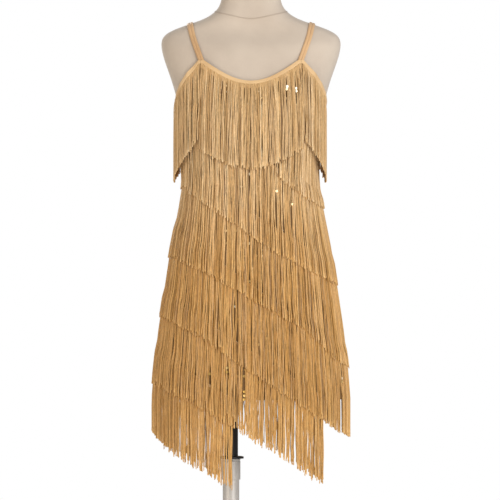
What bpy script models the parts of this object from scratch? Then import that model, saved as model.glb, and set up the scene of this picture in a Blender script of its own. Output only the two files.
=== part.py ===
"""Fringed flapper dress on a limbless dress form with a height-adjustable stand.

The frame has its origin on the floor below the dress, +Z up and the front at -Y.
Cloth is built as walls round the torso: every ring is a rounded oval whose radius
follows from a height and an angle about the Z axis. Fringe hangs from narrow tapes
and is laid on the dress from the lowest row up, so each lock rests on what is below.
"""
import math
from collections import namedtuple

import bmesh
import bpy
from mathutils import Vector

# Cloth, seams and clearances, in metres
CLOTH = 0.0015
SEAM = 0.0003
SEAM_ANGLE = 0.0011
FORM_CLEARANCE = 0.0028
OVAL_POWER = 2.3
SHOULDER_POWER = 2.9
SHOULDER_START = 1.22
SHOULDER_FULL = 1.33

# Heights of the dress
HEM_HEIGHT = 0.622
FITTED_HEIGHT = 1.17
NECK_FRONT_HEIGHT = 1.2544
NECK_BACK_HEIGHT = 1.2500
STRAP_JOINT_HEIGHT = 1.296
UNDERARM_HEIGHT = 1.207
ARMHOLE_CURVE = 1.4

# Straps and bindings
STRAP_WIDTH = 0.0105
STRAP_THICKNESS = 0.0016
STRAP_FRONT_X = 0.099
STRAP_BACK_X = 0.092
STRAP_TOP_X = 0.125
STRAP_STATIONS = 22
STRAP_LIFT = 0.0006
STRAP_LINE_HEIGHT = 1.290
STRAP_LINE_DEPTH = 0.085
BINDING_WIDTH = 0.006
BINDING_THICKNESS = 0.0012
STEEPEST_EDGE = 1.6
EDGE_STEP = 0.010

# Fringe
TAPE_WIDTH = 0.006
TAPE_THICKNESS = 0.0016
TAPE_STANDOFF = 0.0008
SHARPEST_RADIUS = 0.080
TAPE_BELOW_BINDING = 0.0024
LOCK_SHARE = 0.84
LOCK_THICKNESS = 0.0020
LOCK_TIP_SHARE = 0.86
LOCK_GAP = 0.0008
LOCK_SAMPLES = 24
WALL_MARGIN = 0.0006
TOP_ROW_DROP = 0.023
NECK_LENGTH = 0.168
ARM_LENGTH = 0.149
LENGTH_SPREAD = 0.004
HEADER_STEPS = 720
HANG_STEPS = 50
ROW_NODES = (0, 6, 27, 50)
TOP_NODES = (0, 7, 21, 35, 50)

# Counts of columns round the dress and the form
ARM_COLUMNS = 5
NECK_COLUMNS = 7
FORM_COLUMNS = 32
FORM_FLATNESS = 0.6
BUST_ROWS = 4

# Stand
POLE_X = -0.040
BASE_RADIUS = 0.160
BASE_THICKNESS = 0.006
HUB_RADIUS = 0.028
HUB_HEIGHT = 0.030
COLUMN_RADIUS = 0.0165
COLUMN_TOP = 0.4995
MAST_RADIUS = 0.0140
MAST_BOTTOM = 0.184
COLLAR_RADIUS = 0.0200
COLLAR_BOTTOM = 0.460
COLLAR_TOP = 0.5017
RING_RADIUS = 0.0255
RING_TOP = 0.5070
SOCKET_RADIUS = 0.026
SOCKET_BOTTOM = 0.636
SOCKET_TOP = 0.6717
SOCKET_DEPTH = 0.030
SCREW_RADIUS = 0.0025
SCREW_LENGTH = 0.004
SCREW_HEIGHT = 0.498
SCREW_SIDES = 10
TURNED_EDGE = 0.0010
ROUND_SIDES = 24
BASE_SIDES = 40

Ring = namedtuple("Ring", "height half_width front back")

# Torso of the form, from its underside to the top of the neck
FORM_RINGS = (
    Ring(0.672, 0.152, 0.088, 0.098),
    Ring(0.680, 0.160, 0.095, 0.105),
    Ring(0.760, 0.168, 0.101, 0.115),
    Ring(0.840, 0.160, 0.099, 0.109),
    Ring(0.930, 0.140, 0.091, 0.093),
    Ring(1.000, 0.124, 0.087, 0.086),
    Ring(1.070, 0.122, 0.094, 0.088),
    Ring(1.130, 0.126, 0.107, 0.092),
    Ring(1.170, 0.131, 0.115, 0.096),
    Ring(1.210, 0.1465, 0.108, 0.098),
    Ring(1.250, 0.1560, 0.094, 0.098),
    Ring(1.300, 0.1745, 0.079, 0.095),
    Ring(1.325, 0.1805, 0.071, 0.089),
    Ring(1.341, 0.1795, 0.060, 0.078),
    Ring(1.352, 0.1700, 0.054, 0.070),
    Ring(1.361, 0.1510, 0.051, 0.065),
    Ring(1.369, 0.128, 0.050, 0.062),
    Ring(1.376, 0.107, 0.050, 0.060),
    Ring(1.385, 0.084, 0.051, 0.058),
    Ring(1.401, 0.065, 0.049, 0.054),
    Ring(1.418, 0.059, 0.048, 0.052),
    Ring(1.442, 0.056, 0.046, 0.050),
    Ring(1.448, 0.050, 0.041, 0.045),
)

# Inside of the base cloth from the hem up to where it fits the form
SKIRT_RINGS = (
    Ring(0.622, 0.1950, 0.143, 0.147),
    Ring(0.680, 0.1905, 0.138, 0.141),
    Ring(0.760, 0.1815, 0.131, 0.133),
    Ring(0.840, 0.1695, 0.123, 0.123),
    Ring(0.920, 0.1575, 0.116, 0.112),
    Ring(1.000, 0.1415, 0.110, 0.101),
    Ring(1.050, 0.1335, 0.109, 0.097),
    Ring(1.100, 0.1320, 0.114, 0.0965),
    Ring(1.140, 0.1322, 0.1162, 0.0978),
    Ring(1.170, 0.1338, 0.1178, 0.0988),
)

# Slanting rows: height of the tape at x = 0, its fall towards +X, locks and their length
Row = namedtuple("Row", "name centre_height slope locks length")
FRINGE_ROWS = (
    Row("fringe_row_1", 1.2718, 0.72, 15, 0.170),
    Row("fringe_row_2", 1.1183, 0.70, 33, 0.170),
    Row("fringe_row_3", 0.9941, 0.64, 34, 0.170),
    Row("fringe_row_4", 0.8516, 0.74, 38, 0.172),
    Row("fringe_row_5", 0.7200, 0.645, 36, 0.172),
    Row("fringe_row_6", 0.6035, 0.62, 19, 0.184),
)
NECK_LOCKS = 14
ARM_LOCKS = 12

# Colours of the materials, linear RGB
GOLD_CLOTH = (0.52, 0.32, 0.15)
GOLD_FRINGE = (0.60, 0.38, 0.18)
GOLD_BINDING = (0.68, 0.45, 0.24)
FORM_CLOTH = (0.66, 0.56, 0.46)
BLACK_METAL = (0.012, 0.012, 0.013)
PALE_METAL = (0.62, 0.62, 0.60)


def clear_scene():
    """Remove what the open file holds, so that the model starts empty."""
    for item in list(bpy.data.objects):
        bpy.data.objects.remove(item, do_unlink=True)


def finish(name, colour, roughness, metallic=0.0):
    """Principled material of one sub-part."""
    material = bpy.data.materials.new(name)
    material.use_nodes = True
    shader = material.node_tree.nodes["Principled BSDF"]
    shader.inputs["Base Color"].default_value = (*colour, 1.0)
    shader.inputs["Roughness"].default_value = roughness
    shader.inputs["Metallic"].default_value = metallic
    material.diffuse_color = (*colour, 1.0)
    return material


def add_object(name, points, faces, material, smooth_angle=40.0):
    """One named object from points and faces, with its faces pointing out."""
    mesh = bpy.data.meshes.new(name)
    mesh.from_pydata([tuple(point) for point in points], [], faces)
    work = bmesh.new()
    work.from_mesh(mesh)
    bmesh.ops.recalc_face_normals(work, faces=work.faces)
    work.to_mesh(mesh)
    work.free()
    mesh.shade_smooth()
    mesh.set_sharp_from_angle(angle=math.radians(smooth_angle))
    mesh.materials.append(material)
    item = bpy.data.objects.new(name, mesh)
    bpy.context.scene.collection.objects.link(item)
    return item


# Smooth tables and ovals

def slopes_of(heights, values):
    """Slope at each row: the harmonic mean of its neighbours, so nothing overshoots."""
    steps = [(values[i + 1] - values[i]) / (heights[i + 1] - heights[i]) for i in range(len(values) - 1)]
    result = [steps[0]]
    for before, after in zip(steps, steps[1:]):
        same_way = before * after > 0.0
        result.append(2.0 * before * after / (before + after) if same_way else 0.0)
    result.append(steps[-1])
    return result


def curve_through(rings, field):
    """Function of height that passes smoothly through one column of a ring table."""
    heights = [ring.height for ring in rings]
    values = [getattr(ring, field) for ring in rings]
    slopes = slopes_of(heights, values)

    def at(height):
        height = min(max(height, heights[0]), heights[-1])
        index = max(i for i in range(len(heights) - 1) if heights[i] <= height)
        step = heights[index + 1] - heights[index]
        t = (height - heights[index]) / step
        start = values[index] * (2 * t**3 - 3 * t**2 + 1) + slopes[index] * step * (t**3 - 2 * t**2 + t)
        end = values[index + 1] * (3 * t**2 - 2 * t**3) + slopes[index + 1] * step * (t**3 - t**2)
        return start + end

    return at


FORM_CURVES = {field: curve_through(FORM_RINGS, field) for field in ("half_width", "front", "back")}
SKIRT_CURVES = {field: curve_through(SKIRT_RINGS, field) for field in ("half_width", "front", "back")}


def oval_power(height):
    """Squareness of the ovals: the shoulders' ends are blunter than the waist."""
    share = min(max((height - SHOULDER_START) / (SHOULDER_FULL - SHOULDER_START), 0.0), 1.0)
    return OVAL_POWER + (SHOULDER_POWER - OVAL_POWER) * share * share * (3.0 - 2.0 * share)


def oval_radius(half_width, front, back, angle, power):
    """Radius of a rounded oval at an angle from +X; -Y is the front."""
    depth = front if math.sin(angle) < 0.0 else back
    across = abs(math.cos(angle) / half_width) ** power
    along = abs(math.sin(angle) / depth) ** power
    return (across + along) ** (-1.0 / power)


def form_radius(angle, height, outset=0.0):
    """Radius of the form's surface, or of a surface that lies outside it."""
    sizes = [FORM_CURVES[field](height) + outset for field in ("half_width", "front", "back")]
    return oval_radius(*sizes, angle, oval_power(height))


def wall_radius(angle, height, outset=0.0):
    """Radius of the inside of the base cloth, or of a surface outside it."""
    if height >= FITTED_HEIGHT:
        return form_radius(angle, height, FORM_CLEARANCE + outset)
    sizes = [SKIRT_CURVES[field](height) + outset for field in ("half_width", "front", "back")]
    return oval_radius(*sizes, angle, OVAL_POWER)


def polar(angle, radius, height):
    """Point at an angle and radius about the Z axis."""
    return Vector((radius * math.cos(angle), radius * math.sin(angle), height))


# Cut edges of the dress

def angle_at(target_x, height, side):
    """Angle at which the cloth reaches an x at a height; side is -1 front, +1 back."""
    low = 0.0
    high = math.pi / 2.0
    for _ in range(40):
        middle = (low + high) / 2.0
        reach = wall_radius(side * middle, height, CLOTH) * math.cos(middle)
        if reach > target_x:
            low = middle
        else:
            high = middle
    return low


HALF_STRAP = STRAP_WIDTH / 2.0
JOINT_X = {-1: STRAP_FRONT_X, 1: STRAP_BACK_X}
NECK_HEIGHT = {-1: NECK_FRONT_HEIGHT, 1: NECK_BACK_HEIGHT}
OUTER_ANGLE = {side: angle_at(JOINT_X[side] + HALF_STRAP, STRAP_JOINT_HEIGHT, side) for side in (-1, 1)}
MIDDLE_ANGLE = {side: angle_at(JOINT_X[side], STRAP_JOINT_HEIGHT, side) for side in (-1, 1)}
INNER_ANGLE = {side: angle_at(JOINT_X[side] - HALF_STRAP, STRAP_JOINT_HEIGHT, side) for side in (-1, 1)}


def edge_height(angle):
    """Height of the cut edge: armhole, strap joint or neckline, by the angle."""
    side = -1 if math.sin(angle) < 0.0 else 1
    turn = math.acos(min(1.0, abs(math.cos(angle))))
    if turn <= OUTER_ANGLE[side]:
        rise = (turn / OUTER_ANGLE[side]) ** ARMHOLE_CURVE
        return UNDERARM_HEIGHT + (STRAP_JOINT_HEIGHT - UNDERARM_HEIGHT) * rise
    if turn <= INNER_ANGLE[side]:
        return STRAP_JOINT_HEIGHT
    share = (math.pi / 2.0 - turn) / (math.pi / 2.0 - INNER_ANGLE[side])
    return NECK_HEIGHT[side] + (STRAP_JOINT_HEIGHT - NECK_HEIGHT[side]) * share**2


def edge_width_down(angle, width):
    """Drop in height that gives a strip its width square to the slanting edge."""
    rise = edge_height(angle + EDGE_STEP) - edge_height(angle - EDGE_STEP)
    run = 2.0 * EDGE_STEP * wall_radius(angle, edge_height(angle))
    slope = min(abs(rise / run), STEEPEST_EDGE)
    return width * math.sqrt(1.0 + slope * slope)


def quarter_columns(side):
    """Angles from the side seam to the centre line of one half panel."""
    outer = OUTER_ANGLE[side]
    inner = INNER_ANGLE[side]
    arm = [outer * i / ARM_COLUMNS for i in range(ARM_COLUMNS)]
    joint = [outer, MIDDLE_ANGLE[side]]
    neck = [inner + (math.pi / 2.0 - inner) * i / NECK_COLUMNS for i in range(NECK_COLUMNS + 1)]
    return arm + joint + neck


def panel_columns(side):
    """Angles of a whole panel between its side seams, in rising order."""
    quarter = quarter_columns(side)
    angles = quarter + [math.pi - turn for turn in reversed(quarter[:-1])]
    angles[0] += SEAM_ANGLE
    angles[-1] -= SEAM_ANGLE
    return sorted(side * angle for angle in angles)


def wall_heights(angle):
    """Heights of a wall column: the skirt rings, even steps to the binding, the edge."""
    skirt = [ring.height for ring in SKIRT_RINGS]
    top = edge_height(angle)
    reach = top - edge_width_down(angle, BINDING_WIDTH) - FITTED_HEIGHT
    return skirt + [FITTED_HEIGHT + reach * i / BUST_ROWS for i in range(1, BUST_ROWS + 1)] + [top]


# Sheets: an inner and an outer grid of points closed along their edges

def sheet_faces(columns, rows):
    """Faces of a closed sheet, inner grid first, with every diagonal the same way."""
    def inner(column, row):
        return column * rows + row

    def outer(column, row):
        return columns * rows + inner(column, row)

    faces = []
    for column in range(columns - 1):
        after = column + 1
        for row in range(rows - 1):
            for side in (inner, outer):
                faces.append((side(column, row), side(after, row), side(after, row + 1)))
                faces.append((side(column, row), side(after, row + 1), side(column, row + 1)))
        for row in (0, rows - 1):
            faces.append((inner(column, row), inner(after, row), outer(after, row), outer(column, row)))
    for column in (0, columns - 1):
        for row in range(rows - 1):
            faces.append((inner(column, row), outer(column, row),
                          outer(column, row + 1), inner(column, row + 1)))
    return faces


def add_panel(name, side, material):
    """Front or back of the base cloth as one wall."""
    angles = panel_columns(side)
    inner = []
    outer = []
    for angle in angles:
        for height in wall_heights(angle):
            inner.append(polar(angle, wall_radius(angle, height), height))
            outer.append(polar(angle, wall_radius(angle, height, CLOTH), height))
    rows = len(wall_heights(0.0))
    add_object(name, inner + outer, sheet_faces(len(angles), rows), material)


def add_binding(name, angles, material):
    """Narrow bound edge that lies on the outside of the cloth along its cut edge."""
    inner = []
    outer = []
    for angle in angles:
        top = edge_height(angle)
        for height in (top - edge_width_down(angle, BINDING_WIDTH), top):
            inner.append(polar(angle, wall_radius(angle, height, CLOTH + SEAM), height))
            outer.append(polar(angle, wall_radius(angle, height, CLOTH + SEAM + BINDING_THICKNESS), height))
    add_object(name, inner + outer, sheet_faces(len(angles), 2), material)


def neck_angles(side):
    """Angles of a neckline piece between the middles of the straps, in rising order."""
    quarter = [turn for turn in quarter_columns(side) if turn >= MIDDLE_ANGLE[side]]
    angles = quarter + [math.pi - turn for turn in reversed(quarter[:-1])]
    angles[0] += SEAM_ANGLE
    angles[-1] -= SEAM_ANGLE
    return sorted(side * angle for angle in angles)


def arm_angles(mirrored):
    """Angles of an armhole piece between the strap joints, in rising order."""
    front = [turn for turn in quarter_columns(-1) if turn <= MIDDLE_ANGLE[-1]]
    back = [turn for turn in quarter_columns(1) if turn <= MIDDLE_ANGLE[1]]
    front[-1] -= SEAM_ANGLE
    back[-1] -= SEAM_ANGLE
    angles = [-turn for turn in reversed(front)] + back[1:]
    return sorted(math.pi - angle for angle in angles) if mirrored else angles


# Straps over the shoulders

def shoulder_radius(x, tilt):
    """Distance from a line inside the shoulders to the form along a tilted ray."""
    low = 0.0
    high = 2.0 * STRAP_LINE_DEPTH
    for _ in range(40):
        middle = (low + high) / 2.0
        y = -middle * math.cos(tilt)
        height = STRAP_LINE_HEIGHT + middle * math.sin(tilt)
        distance = math.hypot(x, y)
        inside = height < FORM_RINGS[-1].height
        inside = inside and distance < form_radius(math.atan2(y, x), height)
        if inside:
            low = middle
        else:
            high = middle
    return low


def add_strap(name, mirror, material):
    """Flat strap from the front joint over the shoulder to the back joint."""
    joint_top = STRAP_JOINT_HEIGHT + SEAM
    first_tilt = math.asin((joint_top - STRAP_LINE_HEIGHT) / STRAP_LINE_DEPTH)
    inner = []
    outer = []
    for station in range(STRAP_STATIONS + 1):
        share = station / STRAP_STATIONS
        over = math.sin(math.pi * share)
        middle_x = STRAP_FRONT_X + (STRAP_BACK_X - STRAP_FRONT_X) * share
        middle_x += (STRAP_TOP_X - (STRAP_FRONT_X + STRAP_BACK_X) / 2.0) * over
        for edge in (-1, 1):
            x = middle_x + edge * HALF_STRAP
            tilt = first_tilt + (math.pi - 2.0 * first_tilt) * share
            base = shoulder_radius(x, tilt) + FORM_CLEARANCE + (STRAP_LIFT - FORM_CLEARANCE) * over
            for points, out in ((inner, base), (outer, base + STRAP_THICKNESS)):
                y = -out * math.cos(tilt)
                height = STRAP_LINE_HEIGHT + out * math.sin(tilt)
                if station in (0, STRAP_STATIONS):
                    height = joint_top
                points.append(Vector((mirror * x, y, height)))
    add_object(name, inner + outer, sheet_faces(STRAP_STATIONS + 1, 2), material)


# Reach of what already lies on the dress, over angle and height

REACH_CELLS = 1440
REACH_STEP = 0.004
REACH_BOTTOM = 0.430
REACH_ROWS = 225


def new_reach():
    """Grid of radii that starts with the base cloth's outside."""
    grid = []
    for cell in range(REACH_CELLS):
        angle = 2.0 * math.pi * cell / REACH_CELLS
        top = edge_height(angle)
        column = []
        for row in range(REACH_ROWS):
            height = REACH_BOTTOM + row * REACH_STEP
            on_cloth = HEM_HEIGHT - REACH_STEP <= height <= top
            outside = wall_radius(angle, max(height, HEM_HEIGHT), CLOTH + WALL_MARGIN)
            column.append(outside if on_cloth else 0.0)
        grid.append(column)
    return grid


def reach_at(grid, angle, height):
    """Largest radius in the four cells round an angle and a height."""
    cell = math.floor(angle / (2.0 * math.pi) * REACH_CELLS)
    row = math.floor((height - REACH_BOTTOM) / REACH_STEP)
    rows = [min(max(row + i, 0), REACH_ROWS - 1) for i in (0, 1)]
    return max(grid[(cell + i) % REACH_CELLS][k] for i in (0, 1) for k in rows)


def raise_reach(grid, first, last, bottom, top, radius_of):
    """Raise the grid over a patch to the outside of what now lies there."""
    first_cell = math.floor(first / (2.0 * math.pi) * REACH_CELLS)
    last_cell = math.ceil(last / (2.0 * math.pi) * REACH_CELLS)
    first_row = max(math.floor((bottom - REACH_BOTTOM) / REACH_STEP), 0)
    last_row = min(math.ceil((top - REACH_BOTTOM) / REACH_STEP), REACH_ROWS - 1)
    for cell in range(first_cell, last_cell + 1):
        angle = min(max(2.0 * math.pi * cell / REACH_CELLS, first), last)
        column = grid[cell % REACH_CELLS]
        for row in range(first_row, last_row + 1):
            height = min(max(REACH_BOTTOM + row * REACH_STEP, bottom), top)
            column[row] = max(column[row], radius_of(angle, height))


# Fringe

def chord_radius(left, right, width, share):
    """Radius of the straight line between two radii at a share of the angle between."""
    lower = left * math.sin(width * share) + right * math.sin(width * (1.0 - share))
    return left * right * math.sin(width) / lower


def needed_radii(grid, left, right, lock, shares):
    """Radius that a lock needs at each share of its width, growing only downwards."""
    levels = [lock.top - (lock.top - lock.tip) * i / HANG_STEPS for i in range(HANG_STEPS + 1)]
    needed = []
    for share in shares:
        angle = left + (right - left) * share
        shift = lock.shear * (share - 0.5)
        reach = 0.0
        column = []
        for level in levels:
            reach = max(reach, reach_at(grid, angle, level + shift) + LOCK_GAP)
            column.append(reach)
        needed.append(column)
    return needed


def hang_lock(grid, left, right, lock):
    """Inner radii at a lock's nodes: it hangs straight down from its widest point."""
    shares = [i / LOCK_SAMPLES for i in range(LOCK_SAMPLES + 1)]
    width = right - left
    needed = needed_radii(grid, left, right, lock, shares)
    lefts = [lock.left_start] + [needed[0][node] for node in lock.nodes[1:]]
    rights = [lock.right_start] + [needed[-1][node] for node in lock.nodes[1:]]
    for _ in range(3):
        for k, (start, stop) in enumerate(zip(lock.nodes, lock.nodes[1:])):
            for step in range(start + 1, stop + 1):
                part = (step - start) / (stop - start)
                left_radius = lefts[k] + (lefts[k + 1] - lefts[k]) * part
                right_radius = rights[k] + (rights[k + 1] - rights[k]) * part
                short = max(
                    needed[j][step] - chord_radius(left_radius, right_radius, width, share)
                    for j, share in enumerate(shares)
                )
                if short <= 0.0 or (k == 0 and part < 0.5):
                    continue
                lefts[k + 1] += short
                rights[k + 1] += short
                if k:
                    lefts[k] += short
                    rights[k] += short
    return lefts, rights


Lock = namedtuple("Lock", "top tip shear nodes left_start right_start")
Style = namedtuple("Style", "top_at length nodes ring")


def even_angles(first, last, count, height_at):
    """Angles that share a header's length in plan into even parts."""
    angles = [first + (last - first) * i / HEADER_STEPS for i in range(HEADER_STEPS + 1)]
    points = [polar(a, wall_radius(a, height_at(a)), 0.0) for a in angles]
    lengths = [0.0]
    for before, after in zip(points, points[1:]):
        lengths.append(lengths[-1] + (after - before).length)
    result = []
    index = 0
    for i in range(count + 1):
        target = lengths[-1] * i / count
        while index < HEADER_STEPS - 1 and lengths[index + 1] < target:
            index += 1
        span = lengths[index + 1] - lengths[index]
        share = min(max((target - lengths[index]) / span, 0.0), 1.0)
        result.append(angles[index] + (angles[index + 1] - angles[index]) * share)
    return result


def lock_length(length, index):
    """Length of one lock, uneven by a few millimetres as hung threads are."""
    return length - LENGTH_SPREAD * (0.5 + 0.5 * math.sin(2.4 * index + 0.7 * math.sin(1.3 * index)))


def tape_points(bounds, style, under_tape):
    """Four corners of the tape's section at each angle; top tapes lie square to the edge."""
    points = []
    for angle in bounds:
        top = style.top_at(angle)
        width = edge_width_down(angle, TAPE_WIDTH) if style.nodes == TOP_NODES else TAPE_WIDTH
        for low, out in ((0, 0), (0, 1), (1, 1), (1, 0)):
            height = top - width * low
            radius = wall_radius(angle, height, under_tape + TAPE_THICKNESS * out)
            points.append(polar(angle, radius, height))
    return points


def tape_faces(total, ring):
    """Faces of the tape, left open below wherever the root of a lock is fused in."""
    faces = []
    for i in range(total if ring else total - 1):
        here = 4 * i
        there = 4 * ((i + 1) % total)
        for side in range(4):
            if side == 2 and i % 2 == 0:
                continue
            corner = (side + 1) % 4
            faces.append((here + side, there + side, there + corner, here + corner))
    if not ring:
        faces.append((0, 1, 2, 3))
        faces.append(tuple(4 * (total - 1) + corner for corner in (3, 2, 1, 0)))
    return faces


def add_lock(points, faces, grid, section, root, style, drop):
    """One lock of four sides, fused to its tape and tapered a little to its tip."""
    left, right = section
    width = right - left
    left_root = points[root + 3]
    right_root = points[root + 7]
    top = (left_root.z + right_root.z) / 2.0
    shape = Lock(top, top - drop, right_root.z - left_root.z, style.nodes,
                 left_root.xy.length, right_root.xy.length)
    lefts, rights = hang_lock(grid, left, right, shape)
    before = [root + 3, root + 2, root + 6, root + 7]
    for k in range(1, len(style.nodes)):
        share = style.nodes[k] / HANG_STEPS
        taper = 1.0 + (LOCK_TIP_SHARE - 1.0) * share
        half = width / 2.0 * taper * (lefts[0] + rights[0]) / (lefts[k] + rights[k])
        start = len(points)
        for angle, inner, height in (
            ((left + right) / 2.0 - half, lefts[k], left_root.z - drop * share),
            ((left + right) / 2.0 + half, rights[k], right_root.z - drop * share),
        ):
            points.append(polar(angle, inner, height))
            points.append(polar(angle, inner + LOCK_THICKNESS, height))
        now = [start, start + 1, start + 3, start + 2]
        for corner in range(4):
            after = (corner + 1) % 4
            faces.append((before[corner], now[corner], now[after], before[after]))
        before = now
    faces.append(tuple(before))
    cover_lock(grid, left, right, lefts, rights, shape)


def add_fringe(name, grid, first, last, count, style, material):
    """Row of fringe: a tape along the header and locks that hang from its lower edge."""
    parts = even_angles(first, last, count, style.top_at)
    sections = []
    for left, right in zip(parts, parts[1:]):
        gap = (right - left) * (1.0 - LOCK_SHARE) / 2.0
        sections.append((left + gap, right - gap))
    bounds = [angle for section in sections for angle in section]
    middle = (first + last) / 2.0
    chord = (last - first) / count * LOCK_SHARE * wall_radius(middle, style.top_at(middle))
    under_tape = CLOTH + TAPE_STANDOFF + chord**2 / (8.0 * SHARPEST_RADIUS)
    points = tape_points(bounds, style, under_tape)
    faces = tape_faces(len(bounds), style.ring)
    for i, section in enumerate(sections):
        drop = lock_length(style.length, i) - TAPE_WIDTH
        add_lock(points, faces, grid, section, 8 * i, style, drop)
    for left, right in zip(bounds, bounds[1:] + ([bounds[0] + 2.0 * math.pi] if style.ring else [])):
        top = max(style.top_at(left), style.top_at(right))
        bottom = min(style.top_at(left), style.top_at(right)) - 2.0 * TAPE_WIDTH
        out = under_tape + TAPE_THICKNESS
        raise_reach(grid, left, right, bottom, top, lambda angle, height: wall_radius(angle, height, out))
    add_object(name, points, faces, material, 30.0)


def cover_lock(grid, left, right, lefts, rights, shape):
    """Raise the reach over one lock to its outside."""
    width = right - left
    nodes = shape.nodes
    fall = (shape.top - shape.tip) / HANG_STEPS

    def outside(angle, height):
        share = (angle - left) / width
        top = shape.top + shape.shear * (share - 0.5)
        place = min(max((top - height) / fall, 0.0), HANG_STEPS)
        k = max(i for i in range(len(nodes) - 1) if nodes[i] <= place)
        part = (place - nodes[k]) / (nodes[k + 1] - nodes[k])
        left_radius = lefts[k] + (lefts[k + 1] - lefts[k]) * part
        right_radius = rights[k] + (rights[k + 1] - rights[k]) * part
        return left_radius + (right_radius - left_radius) * share + LOCK_THICKNESS

    margin = abs(shape.shear) / 2.0
    raise_reach(grid, left, right, shape.tip - margin, shape.top + margin, outside)


def row_height(row, angle):
    """Height of a slanting row's tape at an angle, found by stepping towards it."""
    height = row.centre_height
    for _ in range(8):
        held = min(max(height, HEM_HEIGHT), STRAP_JOINT_HEIGHT)
        height = row.centre_height - row.slope * wall_radius(angle, held) * math.cos(angle)
    return height


def row_span(row):
    """First and last angle at which a slanting row lies on the cloth."""
    def fits(angle):
        height = row_height(row, angle)
        return HEM_HEIGHT + TAPE_WIDTH + SEAM <= height <= edge_height(angle) - TOP_ROW_DROP

    step = 2.0 * math.pi / REACH_CELLS
    if all(fits(step * i) for i in range(REACH_CELLS)):
        return 0.0, 2.0 * math.pi, True
    start = 0.0 if fits(0.0) else math.pi
    first = start
    while fits(first - step):
        first -= step
    last = start
    while fits(last + step):
        last += step
    return first, last, False


def add_all_fringe(material):
    """Rows from the lowest up, then the top row that hangs over them."""
    grid = new_reach()
    for row in reversed(FRINGE_ROWS):
        first, last, ring = row_span(row)
        style = Style(lambda angle, row=row: row_height(row, angle), row.length, ROW_NODES, ring)
        add_fringe(row.name, grid, first, last, row.locks, style, material)

    def below_binding(angle):
        return edge_height(angle) - edge_width_down(angle, BINDING_WIDTH + TAPE_BELOW_BINDING)

    for name, angles, count, length in (
        ("fringe_arm_right", arm_angles(False), ARM_LOCKS, ARM_LENGTH),
        ("fringe_arm_left", arm_angles(True), ARM_LOCKS, ARM_LENGTH),
        ("fringe_neck_front", neck_angles(-1), NECK_LOCKS, NECK_LENGTH),
        ("fringe_neck_back", neck_angles(1), NECK_LOCKS, NECK_LENGTH),
    ):
        style = Style(below_binding, length, TOP_NODES, False)
        add_fringe(name, grid, min(angles), max(angles), count, style, material)


# Dress form

FORM_HEIGHTS = (
    0.672, 0.680, 0.760, 0.840, 0.900, 0.960, 1.020, 1.080, 1.130, 1.170, 1.210, 1.240, 1.270,
    1.300, 1.325, 1.341, 1.352, 1.361, 1.369, 1.376, 1.385, 1.401, 1.418, 1.442, 1.448,
)


def add_form(material):
    """Padded torso as one smooth solid with a flat underside and a flat neck top."""
    points = []
    for height in FORM_HEIGHTS:
        for column in range(FORM_COLUMNS):
            turn = 2.0 * math.pi * column / FORM_COLUMNS
            angle = math.atan2(FORM_FLATNESS * math.sin(turn), math.cos(turn))
            points.append(polar(angle, form_radius(angle, height), height))
    faces = []
    for row in range(len(FORM_HEIGHTS) - 1):
        for column in range(FORM_COLUMNS):
            after = (column + 1) % FORM_COLUMNS
            low = row * FORM_COLUMNS
            high = low + FORM_COLUMNS
            faces.append((low + column, low + after, high + after, high + column))
    faces.append(tuple(reversed(range(FORM_COLUMNS))))
    faces.append(tuple(range(len(points) - FORM_COLUMNS, len(points))))
    add_object("form_body", points, faces, material, 60.0)


# Turned parts of the stand

def add_turned(name, profile, sides, material):
    """Body turned about the pole from a closed outline of (radius, height) points."""
    points = []
    rings = []
    for radius, height in profile:
        start = len(points)
        if radius == 0.0:
            points.append(Vector((POLE_X, 0.0, height)))
            rings.append([start] * sides)
            continue
        for side in range(sides):
            angle = 2.0 * math.pi * side / sides
            points.append(Vector((POLE_X + radius * math.cos(angle), radius * math.sin(angle), height)))
        rings.append(list(range(start, start + sides)))
    closed = profile[0][0] > 0.0
    pairs = list(zip(rings, rings[1:] + rings[:1] if closed else rings[1:]))
    faces = []
    for lower, upper in pairs:
        for side in range(sides):
            after = (side + 1) % sides
            corners = [lower[side], lower[after], upper[after], upper[side]]
            face = tuple(dict.fromkeys(corners))
            if len(face) > 2:
                faces.append(face)
    add_object(name, points, faces, material, 35.0)


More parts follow.
